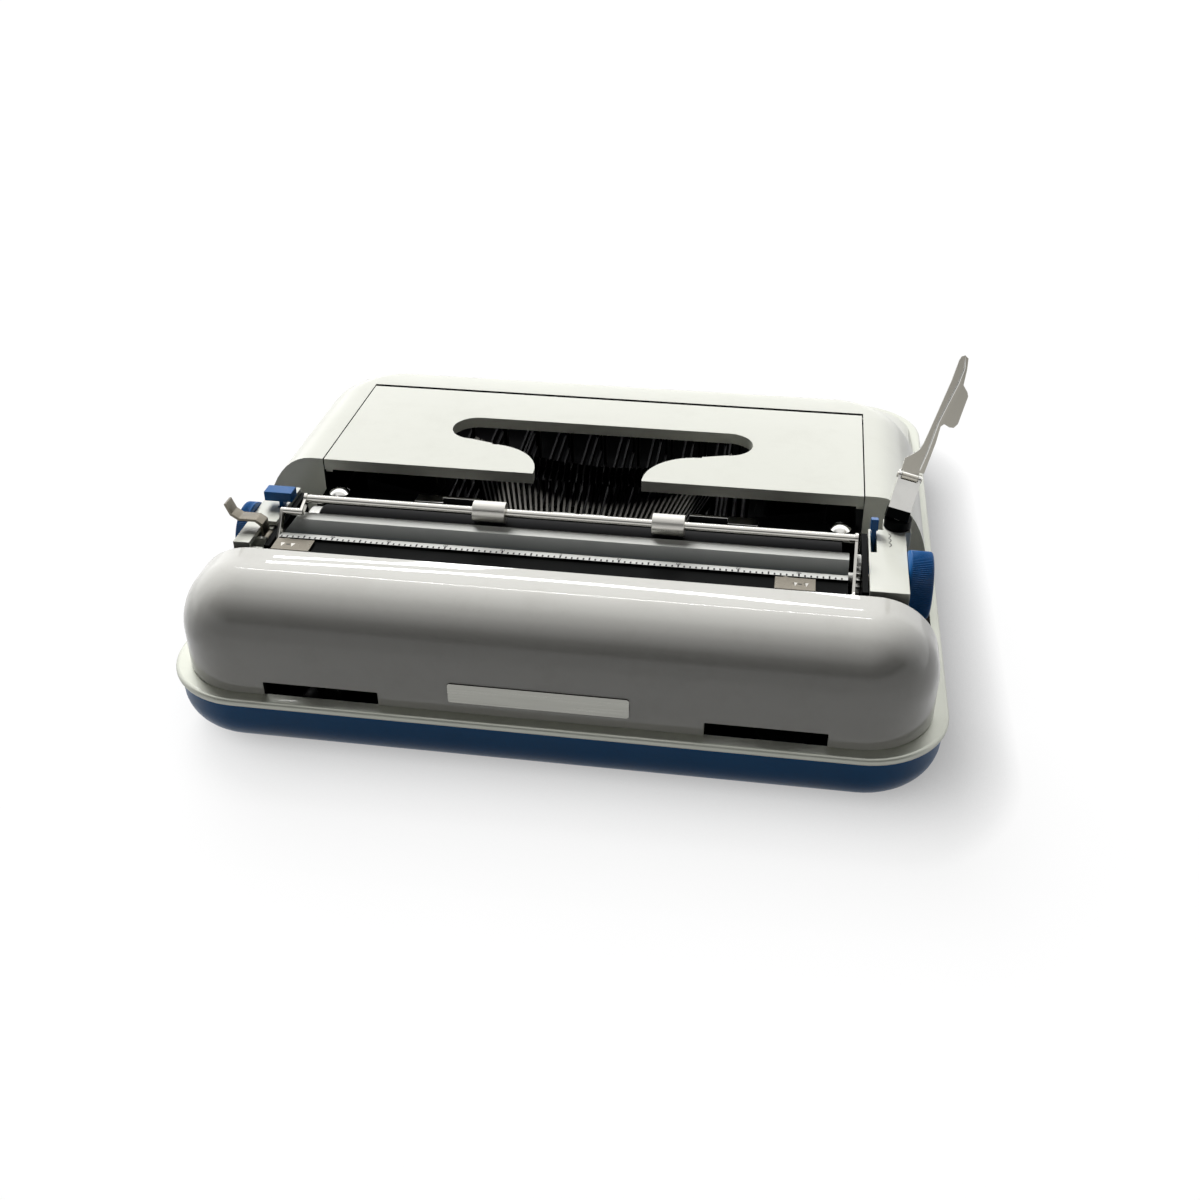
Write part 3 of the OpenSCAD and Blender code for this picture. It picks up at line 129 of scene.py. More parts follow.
def moulded(name, colour, rough=0.35, grain_mm=0.8, grain=0.12):
    """Moulded plastic: an even gloss with a fine grain from the mould."""
    material, tree, shader = finish_of(name, colour, Specular_IOR_Level=0.25)
    place = add(tree, "ShaderNodeTexCoord").outputs["Object"]
    wear = add(tree, "ShaderNodeTexNoise", {"Scale": per_mm(9), "Detail": 5.0}, {"Vector": place})
    gloss = add(tree, "ShaderNodeMapRange",
                {"From Min": 0.3, "From Max": 0.7, "To Min": rough - 0.08, "To Max": rough + 0.1},
                {"Value": wear.outputs["Fac"]})
    tree.links.new(gloss.outputs["Result"], shader.inputs["Roughness"])
    pores = add(tree, "ShaderNodeTexNoise", {"Scale": per_mm(grain_mm), "Detail": 2.0}, {"Vector": place})
    bump = add(tree, "ShaderNodeBump", {"Strength": grain, "Distance": 0.1 * MM}, {"Height": pores.outputs["Fac"]})
    tree.links.new(bump.outputs["Normal"], shader.inputs["Normal"])
    return material


def metal(name, colour, rough, stretch, line_mm, depth):
    """Bare or plated metal: roughness and fine lines drawn out along one axis by brushing or drawing."""
    material, tree, shader = finish_of(name, colour, Metallic=1.0)
    place = add(tree, "ShaderNodeTexCoord").outputs["Object"]
    drawn = add(tree, "ShaderNodeMapping", {"Scale": stretch}, {"Vector": place})
    lines = add(tree, "ShaderNodeTexNoise", {"Scale": per_mm(line_mm), "Detail": 4.0},
                {"Vector": drawn.outputs["Vector"]})
    gloss = add(tree, "ShaderNodeMapRange",
                {"From Min": 0.3, "From Max": 0.7, "To Min": rough[0], "To Max": rough[1]},
                {"Value": lines.outputs["Fac"]})
    tree.links.new(gloss.outputs["Result"], shader.inputs["Roughness"])
    bump = add(tree, "ShaderNodeBump", {"Strength": depth, "Distance": 0.05 * MM}, {"Height": lines.outputs["Fac"]})
    tree.links.new(bump.outputs["Normal"], shader.inputs["Normal"])
    return material


def soft_black(name, colour, rough, grain_mm, grain):
    """Vulcanised rubber: dull, with a fine uneven grain."""
    material, tree, shader = finish_of(name, colour, Specular_IOR_Level=0.04, Roughness=rough)
    place = add(tree, "ShaderNodeTexCoord").outputs["Object"]
    pores = add(tree, "ShaderNodeTexNoise", {"Scale": per_mm(grain_mm), "Detail": 3.0}, {"Vector": place})
    bump = add(tree, "ShaderNodeBump", {"Strength": grain, "Distance": 0.1 * MM}, {"Height": pores.outputs["Fac"]})
    tree.links.new(bump.outputs["Normal"], shader.inputs["Normal"])
    return material


def woven(name, colour, thread_mm):
    """Inked cloth: a plain weave of threads along and across the strip, on its UV in metres."""
    material, tree, shader = finish_of(name, colour, Roughness=0.9, Specular_IOR_Level=0.1, Sheen_Weight=0.03)
    place = add(tree, "ShaderNodeTexCoord").outputs["UV"]
    rows = [add(tree, "ShaderNodeTexWave", {"Scale": per_mm(thread_mm) / 20, "Distortion": 0.4}, {"Vector": place},
                bands_direction=way) for way in ("X", "Y")]
    cross = add(tree, "ShaderNodeMath", links={0: rows[0].outputs["Fac"], 1: rows[1].outputs["Fac"]},
                operation="MULTIPLY")
    bump = add(tree, "ShaderNodeBump", {"Strength": 0.6, "Distance": 0.08 * MM}, {"Height": cross.outputs[0]})
    tree.links.new(bump.outputs["Normal"], shader.inputs["Normal"])
    return material


def printed(name, colour):
    """Printing ink: flat, slightly uneven where it has worn."""
    material, tree, shader = finish_of(name, colour, Roughness=0.6)
    place = add(tree, "ShaderNodeTexCoord").outputs["Object"]
    wear = add(tree, "ShaderNodeTexNoise", {"Scale": per_mm(0.5), "Detail": 3.0}, {"Vector": place})
    rough = add(tree, "ShaderNodeMapRange", {"To Min": 0.45, "To Max": 0.8}, {"Value": wear.outputs["Fac"]})
    tree.links.new(rough.outputs["Result"], shader.inputs["Roughness"])
    return material


def typebar_steel(name, dark, bright):
    """Typebars in near-black steel, a painted shade of the dark inside, with painted glints towards the pivots (Y
    over -4 mm) and on the outer types.

    The outer types are those more than 47 mm from the middle in X."""
    material, tree, shader = finish_of(name, dark, Metallic=1.0, Roughness=0.38)
    axes = add(tree, "ShaderNodeSeparateXYZ", links={"Vector": add(tree, "ShaderNodeTexCoord").outputs["Object"]})
    pivots = add(tree, "ShaderNodeMapRange", {"From Min": -6 * MM, "From Max": -2 * MM}, {"Value": axes.outputs["Y"]})
    away = add(tree, "ShaderNodeMath", links={0: axes.outputs["X"]}, operation="ABSOLUTE")
    ends = add(tree, "ShaderNodeMapRange", {"From Min": 45 * MM, "From Max": 50 * MM}, {"Value": away.outputs[0]})
    # Painted glints where just one of the pivot and outer-type masks holds; elsewhere painted shade
    either = add(tree, "ShaderNodeMath", links={0: pivots.outputs["Result"], 1: ends.outputs["Result"]},
                 operation="SUBTRACT")
    glint = add(tree, "ShaderNodeMath", links={0: either.outputs[0]}, operation="ABSOLUTE")
    tint = add(tree, "ShaderNodeMix", {"A": hex_linear(dark), "B": hex_linear(bright)}, {"Factor": glint.outputs[0]},
               data_type="RGBA")
    tree.links.new(tint.outputs["Result"], shader.inputs["Base Color"])
    return material


# Finishes of this machine
ALONG_X = (0.02, 1.0, 1.0)
EVEN = (1.0, 1.0, 1.0)
GREY_ENAMEL = enamel("grey_enamel", "#d0cfc9", "#b8b6ae", coat=0.75)
IVORY_ENAMEL = enamel("ivory_enamel", "#dbdcd2", "#cbcbc0", coat=0.5, coat_rough=0.12)
TRIM_ENAMEL = enamel("trim_enamel", "#c9cbc0", "#b4b6ab", flake=0.45)
BLUE_ENAMEL = enamel("blue_enamel", "#10639f", "#0e4c7a", coat=0.12)
# Paper table: enamel with a little dirt that darkens from just under its top edge downwards, a painted shade of its
# face
table_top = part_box("paper_table")[1][2]
TABLE_ENAMEL_AND_SHADE = enamel("table_enamel_and_painted_shade", "#e4e7e4", "#7b807f", coat=0.15,
                      painted_shade_to=(table_top - 0.6 * MM, table_top - 4.8 * MM))
BLACK_ENAMEL_AND_SHADE = enamel("black_enamel_and_painted_shade", "#070808", "#0f0e0e", coat=0.0, dull=0.02)
# Near black for the faces inside the covers and pan: painted shade of the inside
INSIDE_PAINTED_SHADE = enamel("inside_painted_shade", "#070708", "#0f0e0e", rough=(0.6, 0.8), coat=0.0, dull=0.05)
SCALE_ENAMEL_AND_HIGHLIGHT = enamel("scale_enamel_and_painted_highlight", "#e4e5e0", "#cfcfc7", coat=0.0)
BLUE_PLASTIC = moulded("blue_plastic", "#0b5795")
KEY_PLASTIC = moulded("key_plastic", "#232426", rough=0.3)
# Near-black steel for the works inside the body: painted shade of the closed interior
STEEL_PAINTED_SHADE = metal("steel_painted_shade", "#0a0a0a", (0.35, 0.5), EVEN, 1.0, 0.06)
BRUSHED_NICKEL = metal("brushed_nickel", "#c4c2bc", (0.22, 0.42), ALONG_X, 0.5, 0.2)
STEEL = metal("ground_steel", "#a8a8a4", (0.22, 0.42), EVEN, 1.2, 0.1)
TYPEBAR_SHADE_AND_GLINTS = typebar_steel("typebar_steel", "#0d0d0d", "#7d7b76")
SATIN_STEEL = metal("satin_steel", "#c6c2b7", (0.3, 0.45), EVEN, 1.0, 0.06)
CHROME = metal("chrome_plate", "#dad9d5", (0.05, 0.14), EVEN, 6.0, 0.01)
POLISHED_STEEL = metal("polished_steel", "#c4c2bc", (0.08, 0.16), ALONG_X, 0.8, 0.02)
NICKEL = metal("nickel_plate", "#6f6a60", (0.26, 0.4), EVEN, 1.4, 0.08)
ALUMINIUM = metal("brushed_aluminium", "#9b9b95", (0.24, 0.42), ALONG_X, 0.6, 0.12)
BRASS = metal("turned_brass", "#c2a05a", (0.18, 0.35), EVEN, 1.5, 0.06)
RUBBER = soft_black("platen_rubber", "#0a0a0b", 0.6, 0.7, 0.2)
RIBBON_CLOTH = woven("ribbon_cloth", "#101012", 0.35)
INK_AND_SHADE = printed("black_ink_and_painted_shade", "#141414")
WHITE_INK = printed("white_ink", "#dfe0da")

# Which finish each solid takes, and how far its sharp edges are rounded in millimetres
COATS = {
    (GREY_ENAMEL, 0.5): ["rear_cover"],
    (IVORY_ENAMEL, 0.5): ["top_cover", "end_cover_left", "end_cover_right"],
    (IVORY_ENAMEL, 1.3): ["ribbon_cover"],
    (TRIM_ENAMEL, 1.3): ["rim_trim"],
    (BLUE_ENAMEL, 0.4): ["base_pan"],
    (BLUE_PLASTIC, 0.5): ["paper_release", "line_selector"],
    # The spring drum is black here as painted shade inside the body; the other parts in this list are black enamel
    (BLACK_ENAMEL_AND_SHADE, 0.2): ["main_frame", "lever_comb", "spool_left", "spool_right", "carriage_frame", "margin_rail",
                          "spring_drum"],
    (STEEL, 0.12): ["foot_screws", "type_guide", "carriage_rails", "platen_shaft"],
    # These parts inside the body, the bell among them, are near black as painted shade
    (STEEL_PAINTED_SHADE, 0.12): ["segment", "fulcrum_shaft", "levers_row_1", "levers_row_2", "levers_row_3", "levers_row_4",
                         "live_lever", "space_lever", "shift_yoke", "bell"],
    (TYPEBAR_SHADE_AND_GLINTS, 0.1): ["typebars", "live_typebar"],
    (CHROME, 0.15): ["deck_studs", "ribbon_guides", "lever_bracket"],
    (POLISHED_STEEL, 0.15): ["bail"],
    (NICKEL, 0.2): ["margin_stop_left", "margin_stop_right", "carriage_release"],
    (BRUSHED_NICKEL, 0.3): ["bail_rollers"],
    (SATIN_STEEL, 0.4): ["return_lever"],
    (TABLE_ENAMEL_AND_SHADE, 0.4): ["paper_table"],
    (ALUMINIUM, 0.08): ["rear_plate"],
    (BRASS, 0.15): ["escape_wheel"],
    (RUBBER, 0.4): ["rubber_feet", "platen", "feed_roller"],
    (KEY_PLASTIC, 0.6): ["keys_row_1", "keys_row_2", "keys_row_3", "keys_row_4", "live_key", "space_bar",
                         "shift_keys", "backspace_key", "margin_release_key", "ribbon_selector"],
    (SCALE_ENAMEL_AND_HIGHLIGHT, 0.15): ["margin_scale"],
}
SMOOTH_UNDER = math.radians(32)
# Hollow solids: a point that the faces of the inside look at, as shares of X and Y, and a height; those inside faces
# are painted near black as painted shade
INSIDE_FROM = {"base_pan": (0.0, 0.0, 22 * MM), "rear_cover": (0.7, 0.86, 45 * MM), "top_cover": (0.7, 0.5, 45 * MM)}
# The foot of the lever's clevis is black up to this plane: point, and direction of the bright side
CLEVIS_FOOT = (Vector((-143, 59.7, 84.2)) * MM, Vector((-0.215, -0.397, 0.892)))

# Direction that the flat side of the return lever looks in; its edges are polished
LEVER_FACE = (0.0, 0.914, 0.407)
BEVEL_STEPS = 2
MERGE_DISTANCE = 0.005 * MM
FLAT_UNDER = math.radians(0.3)


def shown(name, mesh, material, body):
    """A finished piece at the origin that moves with a body."""
    mesh.materials.clear()
    mesh.materials.append(material)
    piece = bpy.data.objects.new(name, mesh)
    SCENE.collection.objects.link(piece)
    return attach(piece, body)


def face_values(mesh, what):
    """A vector of every face, such as its centre or normal, as an array of rows."""
    values = np.empty(3 * len(mesh.polygons))
    mesh.polygons.foreach_get(what, values)
    return values.reshape(-1, 3)


def second_finish(mesh, material, chosen):
    """Gives the chosen faces another finish."""
    mesh.materials.append(material)
    mesh.polygons.foreach_set("material_index", chosen.astype(np.int32))


def dressed(node, material, edge_mm):
    """A merged copy of a solid with smooth round faces and softly rounded edges, in place of the solid."""
    work = bmesh.new()
    work.from_mesh(frame["nodes"][node].data)
    bmesh.ops.remove_doubles(work, verts=work.verts, dist=MERGE_DISTANCE)
    bmesh.ops.dissolve_limit(work, angle_limit=FLAT_UNDER, verts=work.verts, edges=work.edges)
    if node == "lever_bracket":
        bmesh.ops.bisect_plane(work, geom=work.verts[:] + work.edges[:] + work.faces[:], plane_co=CLEVIS_FOOT[0],
                               plane_no=CLEVIS_FOOT[1])
    for face in work.faces:
        face.smooth = True
    mesh = bpy.data.meshes.new(node + "_skin")
    work.to_mesh(mesh)
    work.free()
    mesh.set_sharp_from_angle(angle=SMOOTH_UNDER)
    piece = shown(node + "_skin", mesh, material, BODY_OF[node])
    centres, normals = face_values(mesh, "center"), face_values(mesh, "normal")
    if node in INSIDE_FROM:
        share_x, share_y, height = INSIDE_FROM[node]
        eye = np.stack([share_x * centres[:, 0], share_y * centres[:, 1], np.full(len(centres), height)], axis=1)
        # Faces inside the solid are painted near black: painted shade
        second_finish(mesh, INSIDE_PAINTED_SHADE, np.sum((centres - eye) * normals, axis=1) < 0)
    if node == "return_lever":
        second_finish(mesh, CHROME, np.abs(normals @ np.array(LEVER_FACE)) < 0.8)
    # The table's flat top takes the pale scale enamel: a painted highlight along its upper edge
    if node == "paper_table":
        second_finish(mesh, SCALE_ENAMEL_AND_HIGHLIGHT, normals[:, 2] > 0.85)
    # The plate's edge faces are black: a painted shadow line round the plate
    if node == "rear_plate":
        second_finish(mesh, BLACK_ENAMEL_AND_SHADE, normals[:, 1] < 0.6)
    if node == "margin_scale":
        second_finish(mesh, BLACK_ENAMEL_AND_SHADE, normals[:, 2] < 0.5)
    if node == "lever_bracket":
        second_finish(mesh, BLACK_ENAMEL_AND_SHADE, (centres - np.array(CLEVIS_FOOT[0])) @ np.array(CLEVIS_FOOT[1]) < 0)
    rounding = piece.modifiers.new("edges", "BEVEL")
    rounding.width = edge_mm * MM
    rounding.segments = BEVEL_STEPS
    rounding.limit_method = "ANGLE"
    rounding.angle_limit = SMOOTH_UNDER
    rounding.harden_normals = True
    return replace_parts(piece, node)


for (coat, edge), names in COATS.items():
    for solid in names:
        dressed(solid, coat, edge)


def surface(name, grids):
    """A smooth mesh of one or more grids of points, each an array of rows, columns and XYZ in metres."""
    points, quads, first = [], [], 0
    for grid in grids:
        rows, columns = grid.shape[:2]
        place = first + np.arange(rows * columns).reshape(rows, columns)
        ring = [place[:-1, :-1], place[:-1, 1:], place[1:, 1:], place[1:, :-1]]
        quads.append(np.stack(ring, axis=-1).reshape(-1, 4))
        points.append(grid.reshape(-1, 3))
        first += rows * columns
    mesh = bpy.data.meshes.new(name)
    mesh.from_pydata(np.concatenate(points).tolist(), [], np.concatenate(quads).tolist())
    mesh.shade_smooth()
    return mesh


# Platen knobs
KNOB_RIBS = 100
KNOB_RIB_DEPTH = 0.28
KNOB_WIDTH = {-1: 10.5, 1: 5.2}
knob_low, knob_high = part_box("platen_knobs")
knob_r = (knob_high[2] - knob_low[2]) / 2 / MM
knob_y, knob_z = [(knob_low[k] + knob_high[k]) / 2 / MM for k in (1, 2)]


def knob(side):
    """Ribbed knob round X: radius r(u) - depth (1 + cos(ribs a)) / 2 over the grip, with rounded rims and flat ends.

    u runs from the inner face to the outer one; side is -1 for the left knob and 1 for the right one."""
    width = KNOB_WIDTH[side]
    outer = (knob_low[0] if side < 0 else knob_high[0]) / MM
    u = np.array([0, 0, 0.04, 0.08, 0.12, 0.16, 0.5, 0.9, 0.94, 0.98, 1, 1, 0.92, 0.92])
    share = np.array([0.3, 0.955, 0.985, 1, 1, 1, 1, 1, 0.99, 0.965, 0.93, 0.72, 0.66, 0.01])
    grip = np.array([0, 0, 0, 0, 0, 1, 1, 1, 0.7, 0.2, 0, 0, 0, 0])
    angle = np.linspace(0, 2 * math.pi, 6 * KNOB_RIBS + 1)[:, None]
    radius = knob_r * share - KNOB_RIB_DEPTH * grip * (1 + np.cos(KNOB_RIBS * angle)) / 2
    along = outer - side * width * (1 - u) + 0 * angle
    grid = np.stack([along, knob_y + radius * np.cos(angle), knob_z + radius * np.sin(angle)], axis=-1)
    return (grid if side > 0 else grid[::-1]) * MM


knobs = shown("knobs_ribbed", surface("knobs_ribbed", [knob(-1), knob(1)]), BLUE_PLASTIC, "roller")
knobs.data.set_sharp_from_angle(angle=math.radians(50))
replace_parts(knobs, "platen_knobs")

# Ribbon: from the left spool round the guides and past the platen to the right spool, standing on edge
RIBBON_TURN = 5.0
ribbon_low, ribbon_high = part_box("ribbon")
RIBBON_HALF_ROUTE = np.array([(113.6, 7), (113.6, 24.8), (64, 41), (9, 73.25)])


def rounded_route(corners, cut, steps):
    """The route through corners in plan with each inner corner replaced by the quadratic curve
    (1 - t)^2 a + 2 t (1 - t) b + t^2 c, which starts and ends cut away from the corner b."""
    t = np.linspace(0, 1, steps)[:, None]
    before = corners[:-2] - corners[1:-1]
    after = corners[2:] - corners[1:-1]
    a = corners[1:-1] + cut * before / np.linalg.norm(before, axis=1, keepdims=True)
    c = corners[1:-1] + cut * after / np.linalg.norm(after, axis=1, keepdims=True)
    bends = (1 - t) ** 2 * a[:, None] + 2 * t * (1 - t) * corners[1:-1, None] + t ** 2 * c[:, None]
    return np.concatenate([corners[:1], bends.reshape(-1, 2), corners[-1:]])


def ribbon_strip():
    """The strip between the ribbon's lower and upper edge along its route, with UV in metres along and across it."""
    corners = np.concatenate([RIBBON_HALF_ROUTE * (-1, 1), RIBBON_HALF_ROUTE[::-1]])
    route = rounded_route(corners, RIBBON_TURN, 9) * MM
    along = np.concatenate([[0], np.cumsum(np.linalg.norm(np.diff(route, axis=0), axis=1))])
    across = np.linspace(ribbon_low[2], ribbon_high[2], 5)
    grid = np.empty((len(route), len(across), 3))
    grid[..., :2] = route[:, None]
    grid[..., 2] = across
    mesh = surface("ribbon_strip", [grid])
    uv = np.stack([np.repeat(along, len(across)), np.tile(across, len(route))], axis=1)
    corner_of = np.empty(len(mesh.loops), dtype=np.int32)
    mesh.loops.foreach_get("vertex_index", corner_of)
    mesh.uv_layers.new(name="UVMap").data.foreach_set("uv", uv[corner_of].ravel())
    return mesh, along[-1]


ribbon_mesh, ribbon_length = ribbon_strip()
ribbon = shown("ribbon_strip", ribbon_mesh, RIBBON_CLOTH, "frame")
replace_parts(ribbon, "ribbon")


# Printing lies this far above its face, in millimetres
PRINT_GAP = 0.03


def glyph(text, size_mm):
    """Points and faces of a piece of lettering, centred on its middle, flat in XY, in millimetres."""
    curve = bpy.data.curves.new("glyph", "FONT")
    curve.body, curve.size, curve.align_x, curve.align_y = text, size_mm, "CENTER", "CENTER"
    holder = bpy.data.objects.new("glyph", curve)
    SCENE.collection.objects.link(holder)
    bpy.context.view_layer.update()
    mesh = bpy.data.meshes.new_from_object(holder.evaluated_get(bpy.context.evaluated_depsgraph_get()))
    points = np.empty(3 * len(mesh.vertices))
    mesh.vertices.foreach_get("co", points)
    faces = [list(face.vertices) for face in mesh.polygons]
    bpy.data.objects.remove(holder)
    bpy.data.curves.remove(curve)
    bpy.data.meshes.remove(mesh)
    return points.reshape(-1, 3), faces


def lettering(name, marks, material, body):
    """One piece of flat lettering from (text, size, x, y, z) in millimetres, just above the face that it is on."""
    points, faces, first = [], [], 0
    for text, size, x, y, z in marks:
        shape, loops = glyph(text, size)
        points.append(shape + (x, y, z + PRINT_GAP))
        faces += [[first + k for k in loop] for loop in loops]
        first += len(shape)
    mesh = bpy.data.meshes.new(name)
    mesh.from_pydata((np.concatenate(points) * MM).tolist(), [], faces)
    return shown(name, mesh, material, body)


def bars(name, boxes, material, body):
    """One piece of flat bars from rows of (x0, x1, y0, y1, z) in millimetres, just above the face they are on."""
    x0, x1, y0, y1, z = np.asarray(boxes, float).T
    z = z + PRINT_GAP
    corners = np.stack([np.stack([x0, y0, z], 1), np.stack([x1, y0, z], 1),
                        np.stack([x1, y1, z], 1), np.stack([x0, y1, z], 1)], axis=1)
    mesh = bpy.data.meshes.new(name)
    faces = np.arange(4 * len(corners)).reshape(-1, 4)
    mesh.from_pydata((corners.reshape(-1, 3) * MM).tolist(), [], faces.tolist())
    return shown(name, mesh, material, body)


# Carriage scale: one division for each type space, a longer one at every fifth, a number at every tenth
TYPE_SPACE = 2.54
TICK_HALF = 0.35
TICK_LONG, TICK_SHORT = 2.3, 1.6
TICK_MARGIN = 0.15
NUMBER_SIZE = 2.2
NUMBER_RISE = 1.1
scale_low, scale_high = [np.array(corner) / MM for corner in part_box("margin_scale")]
first_step = math.ceil((scale_low[0] + 1) / TYPE_SPACE)
last_step = math.floor((scale_high[0] - 1) / TYPE_SPACE)
step = np.arange(first_step, last_step + 1)
tick_x = step * TYPE_SPACE
tick_from = scale_high[1] - np.where(step % 5 == 0, TICK_LONG, TICK_SHORT)
tick_to = np.full(len(step), scale_high[1] - TICK_MARGIN)
tick_z = np.full(len(step), scale_high[2])
bars("scale_divisions", np.stack([tick_x - TICK_HALF, tick_x + TICK_HALF, tick_from, tick_to, tick_z], axis=1), INK_AND_SHADE,
     "carriage")
lettering("scale_numbers", [(str(abs(int(k))), NUMBER_SIZE, k * TYPE_SPACE, scale_low[1] + NUMBER_RISE, scale_high[2])
                            for k in step if k % 10 == 0], INK_AND_SHADE, "carriage")

# Key legends: row, letters, and the live key in the third row
ROW_LEGENDS = {"keys_row_1": "1234567890-", "keys_row_2": "QWERTYUIOP/", "keys_row_3": "ASDFGHJKL;'",
               "keys_row_4": "ZXCVBNM,.?"}
ROW_SHIFT = {"keys_row_1": -0.5, "keys_row_2": -0.25, "keys_row_3": 0.0, "keys_row_4": 0.25}
KEY_PITCH = 19.0
MIDDLE_PLACE = 5
LEGEND_SIZE = 4.6
LIVE_PLACE = 5
for row, letters in ROW_LEGENDS.items():
    key_low, key_high = [np.array(corner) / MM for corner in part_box(row)]
    middle_y = (key_low[1] + key_high[1]) / 2
    marks = [(letter, LEGEND_SIZE, (ROW_SHIFT[row] + k - MIDDLE_PLACE) * KEY_PITCH, middle_y, key_high[2])
             for k, letter in enumerate(letters)]
    if row == "keys_row_3":
        lettering("live_legend", marks[LIVE_PLACE:LIVE_PLACE + 1], WHITE_INK, "live")
        marks = marks[:LIVE_PLACE] + marks[LIVE_PLACE + 1:]
    lettering(row + "_legends", marks, WHITE_INK, BODY_OF[row])

# Margin stops: two pressed points and a hole on each; the hole is a flat black patch, painted shade of its depth
POINT_STEP = 4.6
POINT_INSET = 4.6
HOLE_STEP = 2.0
HOLE_HALF = 0.8
HOLE_FROM, HOLE_TO = -0.2, 0.5
POINT_SIZE = 2.0
POINT_RISE = 0.6


def pressed_points(name, node, places):
    """Small three-sided points pressed up from a plate: a raised apex over a triangle at each place (x, y)."""
    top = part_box(node)[1][2] / MM
    turn = np.radians([90, 210, 330])
    ring = np.stack([0.6 * POINT_SIZE * np.cos(turn), POINT_SIZE * np.sin(turn), np.full(3, -0.02)], axis=1)
    form = np.concatenate([ring, [[0.25 * POINT_SIZE, 0, POINT_RISE]]])
    points = np.concatenate([form + (x, y, top) for x, y in places])
    faces = np.concatenate([4 * k + np.array([[0, 1, 3], [1, 2, 3], [2, 0, 3]]) for k in range(len(places))])
    mesh = bpy.data.meshes.new(name)
    mesh.from_pydata((points * MM).tolist(), [], faces.tolist())
    return shown(name, mesh, BRUSHED_NICKEL, BODY_OF[node])


for node, outward in (("margin_stop_left", -1), ("margin_stop_right", 1)):
    stop_low, stop_high = [np.array(corner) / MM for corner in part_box(node)]
    middle_x, middle_y = (stop_low[0] + stop_high[0]) / 2, stop_high[1] - POINT_INSET
    pressed_points(node + "_points", node, [(middle_x, middle_y), (middle_x + POINT_STEP * outward, middle_y)])
    hole_x = middle_x + HOLE_STEP * outward
    # The hole: a flat black patch as painted shade
    bars(node + "_hole", [(hole_x - HOLE_HALF, hole_x + HOLE_HALF, middle_y + HOLE_FROM, middle_y + HOLE_TO,
                           stop_high[2])], INK_AND_SHADE, BODY_OF[node])

# Return lever: a bright folded edge along the outer side of its face, in the lever's own plane
LEVER_FOOT = np.array((-143.5, 61.0, 81.0))
LEVER_SHIFT = np.array((0.8, 0.0, 0.0))
LEVER_TURN = np.array(Matrix.Rotation(math.radians(24), 3, "X") @ Matrix.Rotation(math.radians(-12.4), 3, "Y"))
LEVER_LEAN = np.array(Matrix.Rotation(math.radians(24), 3, "X"))
LEVER_EDGE = np.array([(-3.2, 21.6), (-4.0, 31.7), (-4.5, 44.3), (-7.4, 62.1), (-7.9, 69.1), (-6.7, 73.8)])
LEVER_FRONT = 1.25
FOLD_R = 0.45


def lever_fold():
    """Half-round bead along the edge: c(s) + r(s) (cos a side + sin a front), with r(s) = R sqrt(1 - (2s - 1)^8)."""
    reach = np.concatenate([[0], np.cumsum(np.linalg.norm(np.diff(LEVER_EDGE, axis=0), axis=1))])
    s = np.linspace(0, 1, 61)
    line = np.stack([np.interp(s * reach[-1], reach, LEVER_EDGE[:, k]) for k in (0, 1)], axis=1)
    ahead = np.gradient(line, axis=0)
    side = np.stack([ahead[:, 1], -ahead[:, 0]], axis=1) / np.linalg.norm(ahead, axis=1, keepdims=True)
    radius = (FOLD_R * np.sqrt(np.clip(1 - (2 * s - 1) ** 8, 0, 1)))[:, None]
    a = np.linspace(0, math.pi, 9)
    across = line[:, None, :] + (radius * np.cos(a))[..., None] * side[:, None, :]
    local = np.stack([across[..., 0], LEVER_FRONT + radius * np.sin(a), across[..., 1]], axis=-1)
    grid = (LEVER_FOOT + LEVER_LEAN @ LEVER_SHIFT + local @ LEVER_TURN.T) * MM
    return shown("lever_fold", surface("lever_fold", [grid]), CHROME, "handle")


lever_fold()

# Marks of the line spaces beside the selector's slot
MARK_X = -138.5
MARK_Y = (70.0, 74.0, 78.0)
MARK_TOP = 76.0 + PRINT_GAP
MARK_R = 1.8
MARK_WIDTH = 0.35


def arc_marks(name, places, radius, width):
    """Short printed arcs: two radii, radius and radius + width, over a third of a turn at each place (x, y)."""
    turn = np.radians(np.linspace(120, 240, 13))[:, None]
    ring = np.stack([np.cos(turn) * (radius, radius + width), np.sin(turn) * (radius, radius + width)], axis=-1)
    height = np.full(ring.shape[:2] + (1,), MARK_TOP)
    grids = [np.concatenate([ring + place, height], axis=-1) * MM for place in places]
    return shown(name, surface(name, grids), INK_AND_SHADE, "carriage")


arc_marks("line_space_marks", [(MARK_X, y) for y in MARK_Y], MARK_R, MARK_WIDTH)

# Floor: its tone for the camera and for scattered light, and the part that is white without light.
# Ambient occlusion dims that white near the machine: a painted shadow, lying on the side that looks away from
# CONTACT_SIDE.
FLOOR_SIZE = 6.0
FLOOR_SEEN = 0.1
FLOOR_BOUNCE = 0.2
FLOOR_LIFT = 0.9
CONTACT_REACH = 40 * MM
CONTACT_SHARE = 0.95
CONTACT_SIDE = {"X": 0.8, "Y": 0.35, "Z": 0.5}
# Room as it is mirrored in metal and gloss: a pale wall low down, a dark band, a pale ceiling, and a window on the
# front side. The ranges are of the Z or Y of the direction.
WORLD_FILL = 0.07
MIRRORED_LOW = 0.1
MIRRORED_WALL = {"From Min": 0.5, "From Max": 0.36, "To Max": 0.85}
MIRRORED_CEILING = {"From Min": 0.68, "From Max": 0.88}
MIRRORED_FRONT = {"From Min": 0.3, "From Max": -0.2, "To Max": 1.8}


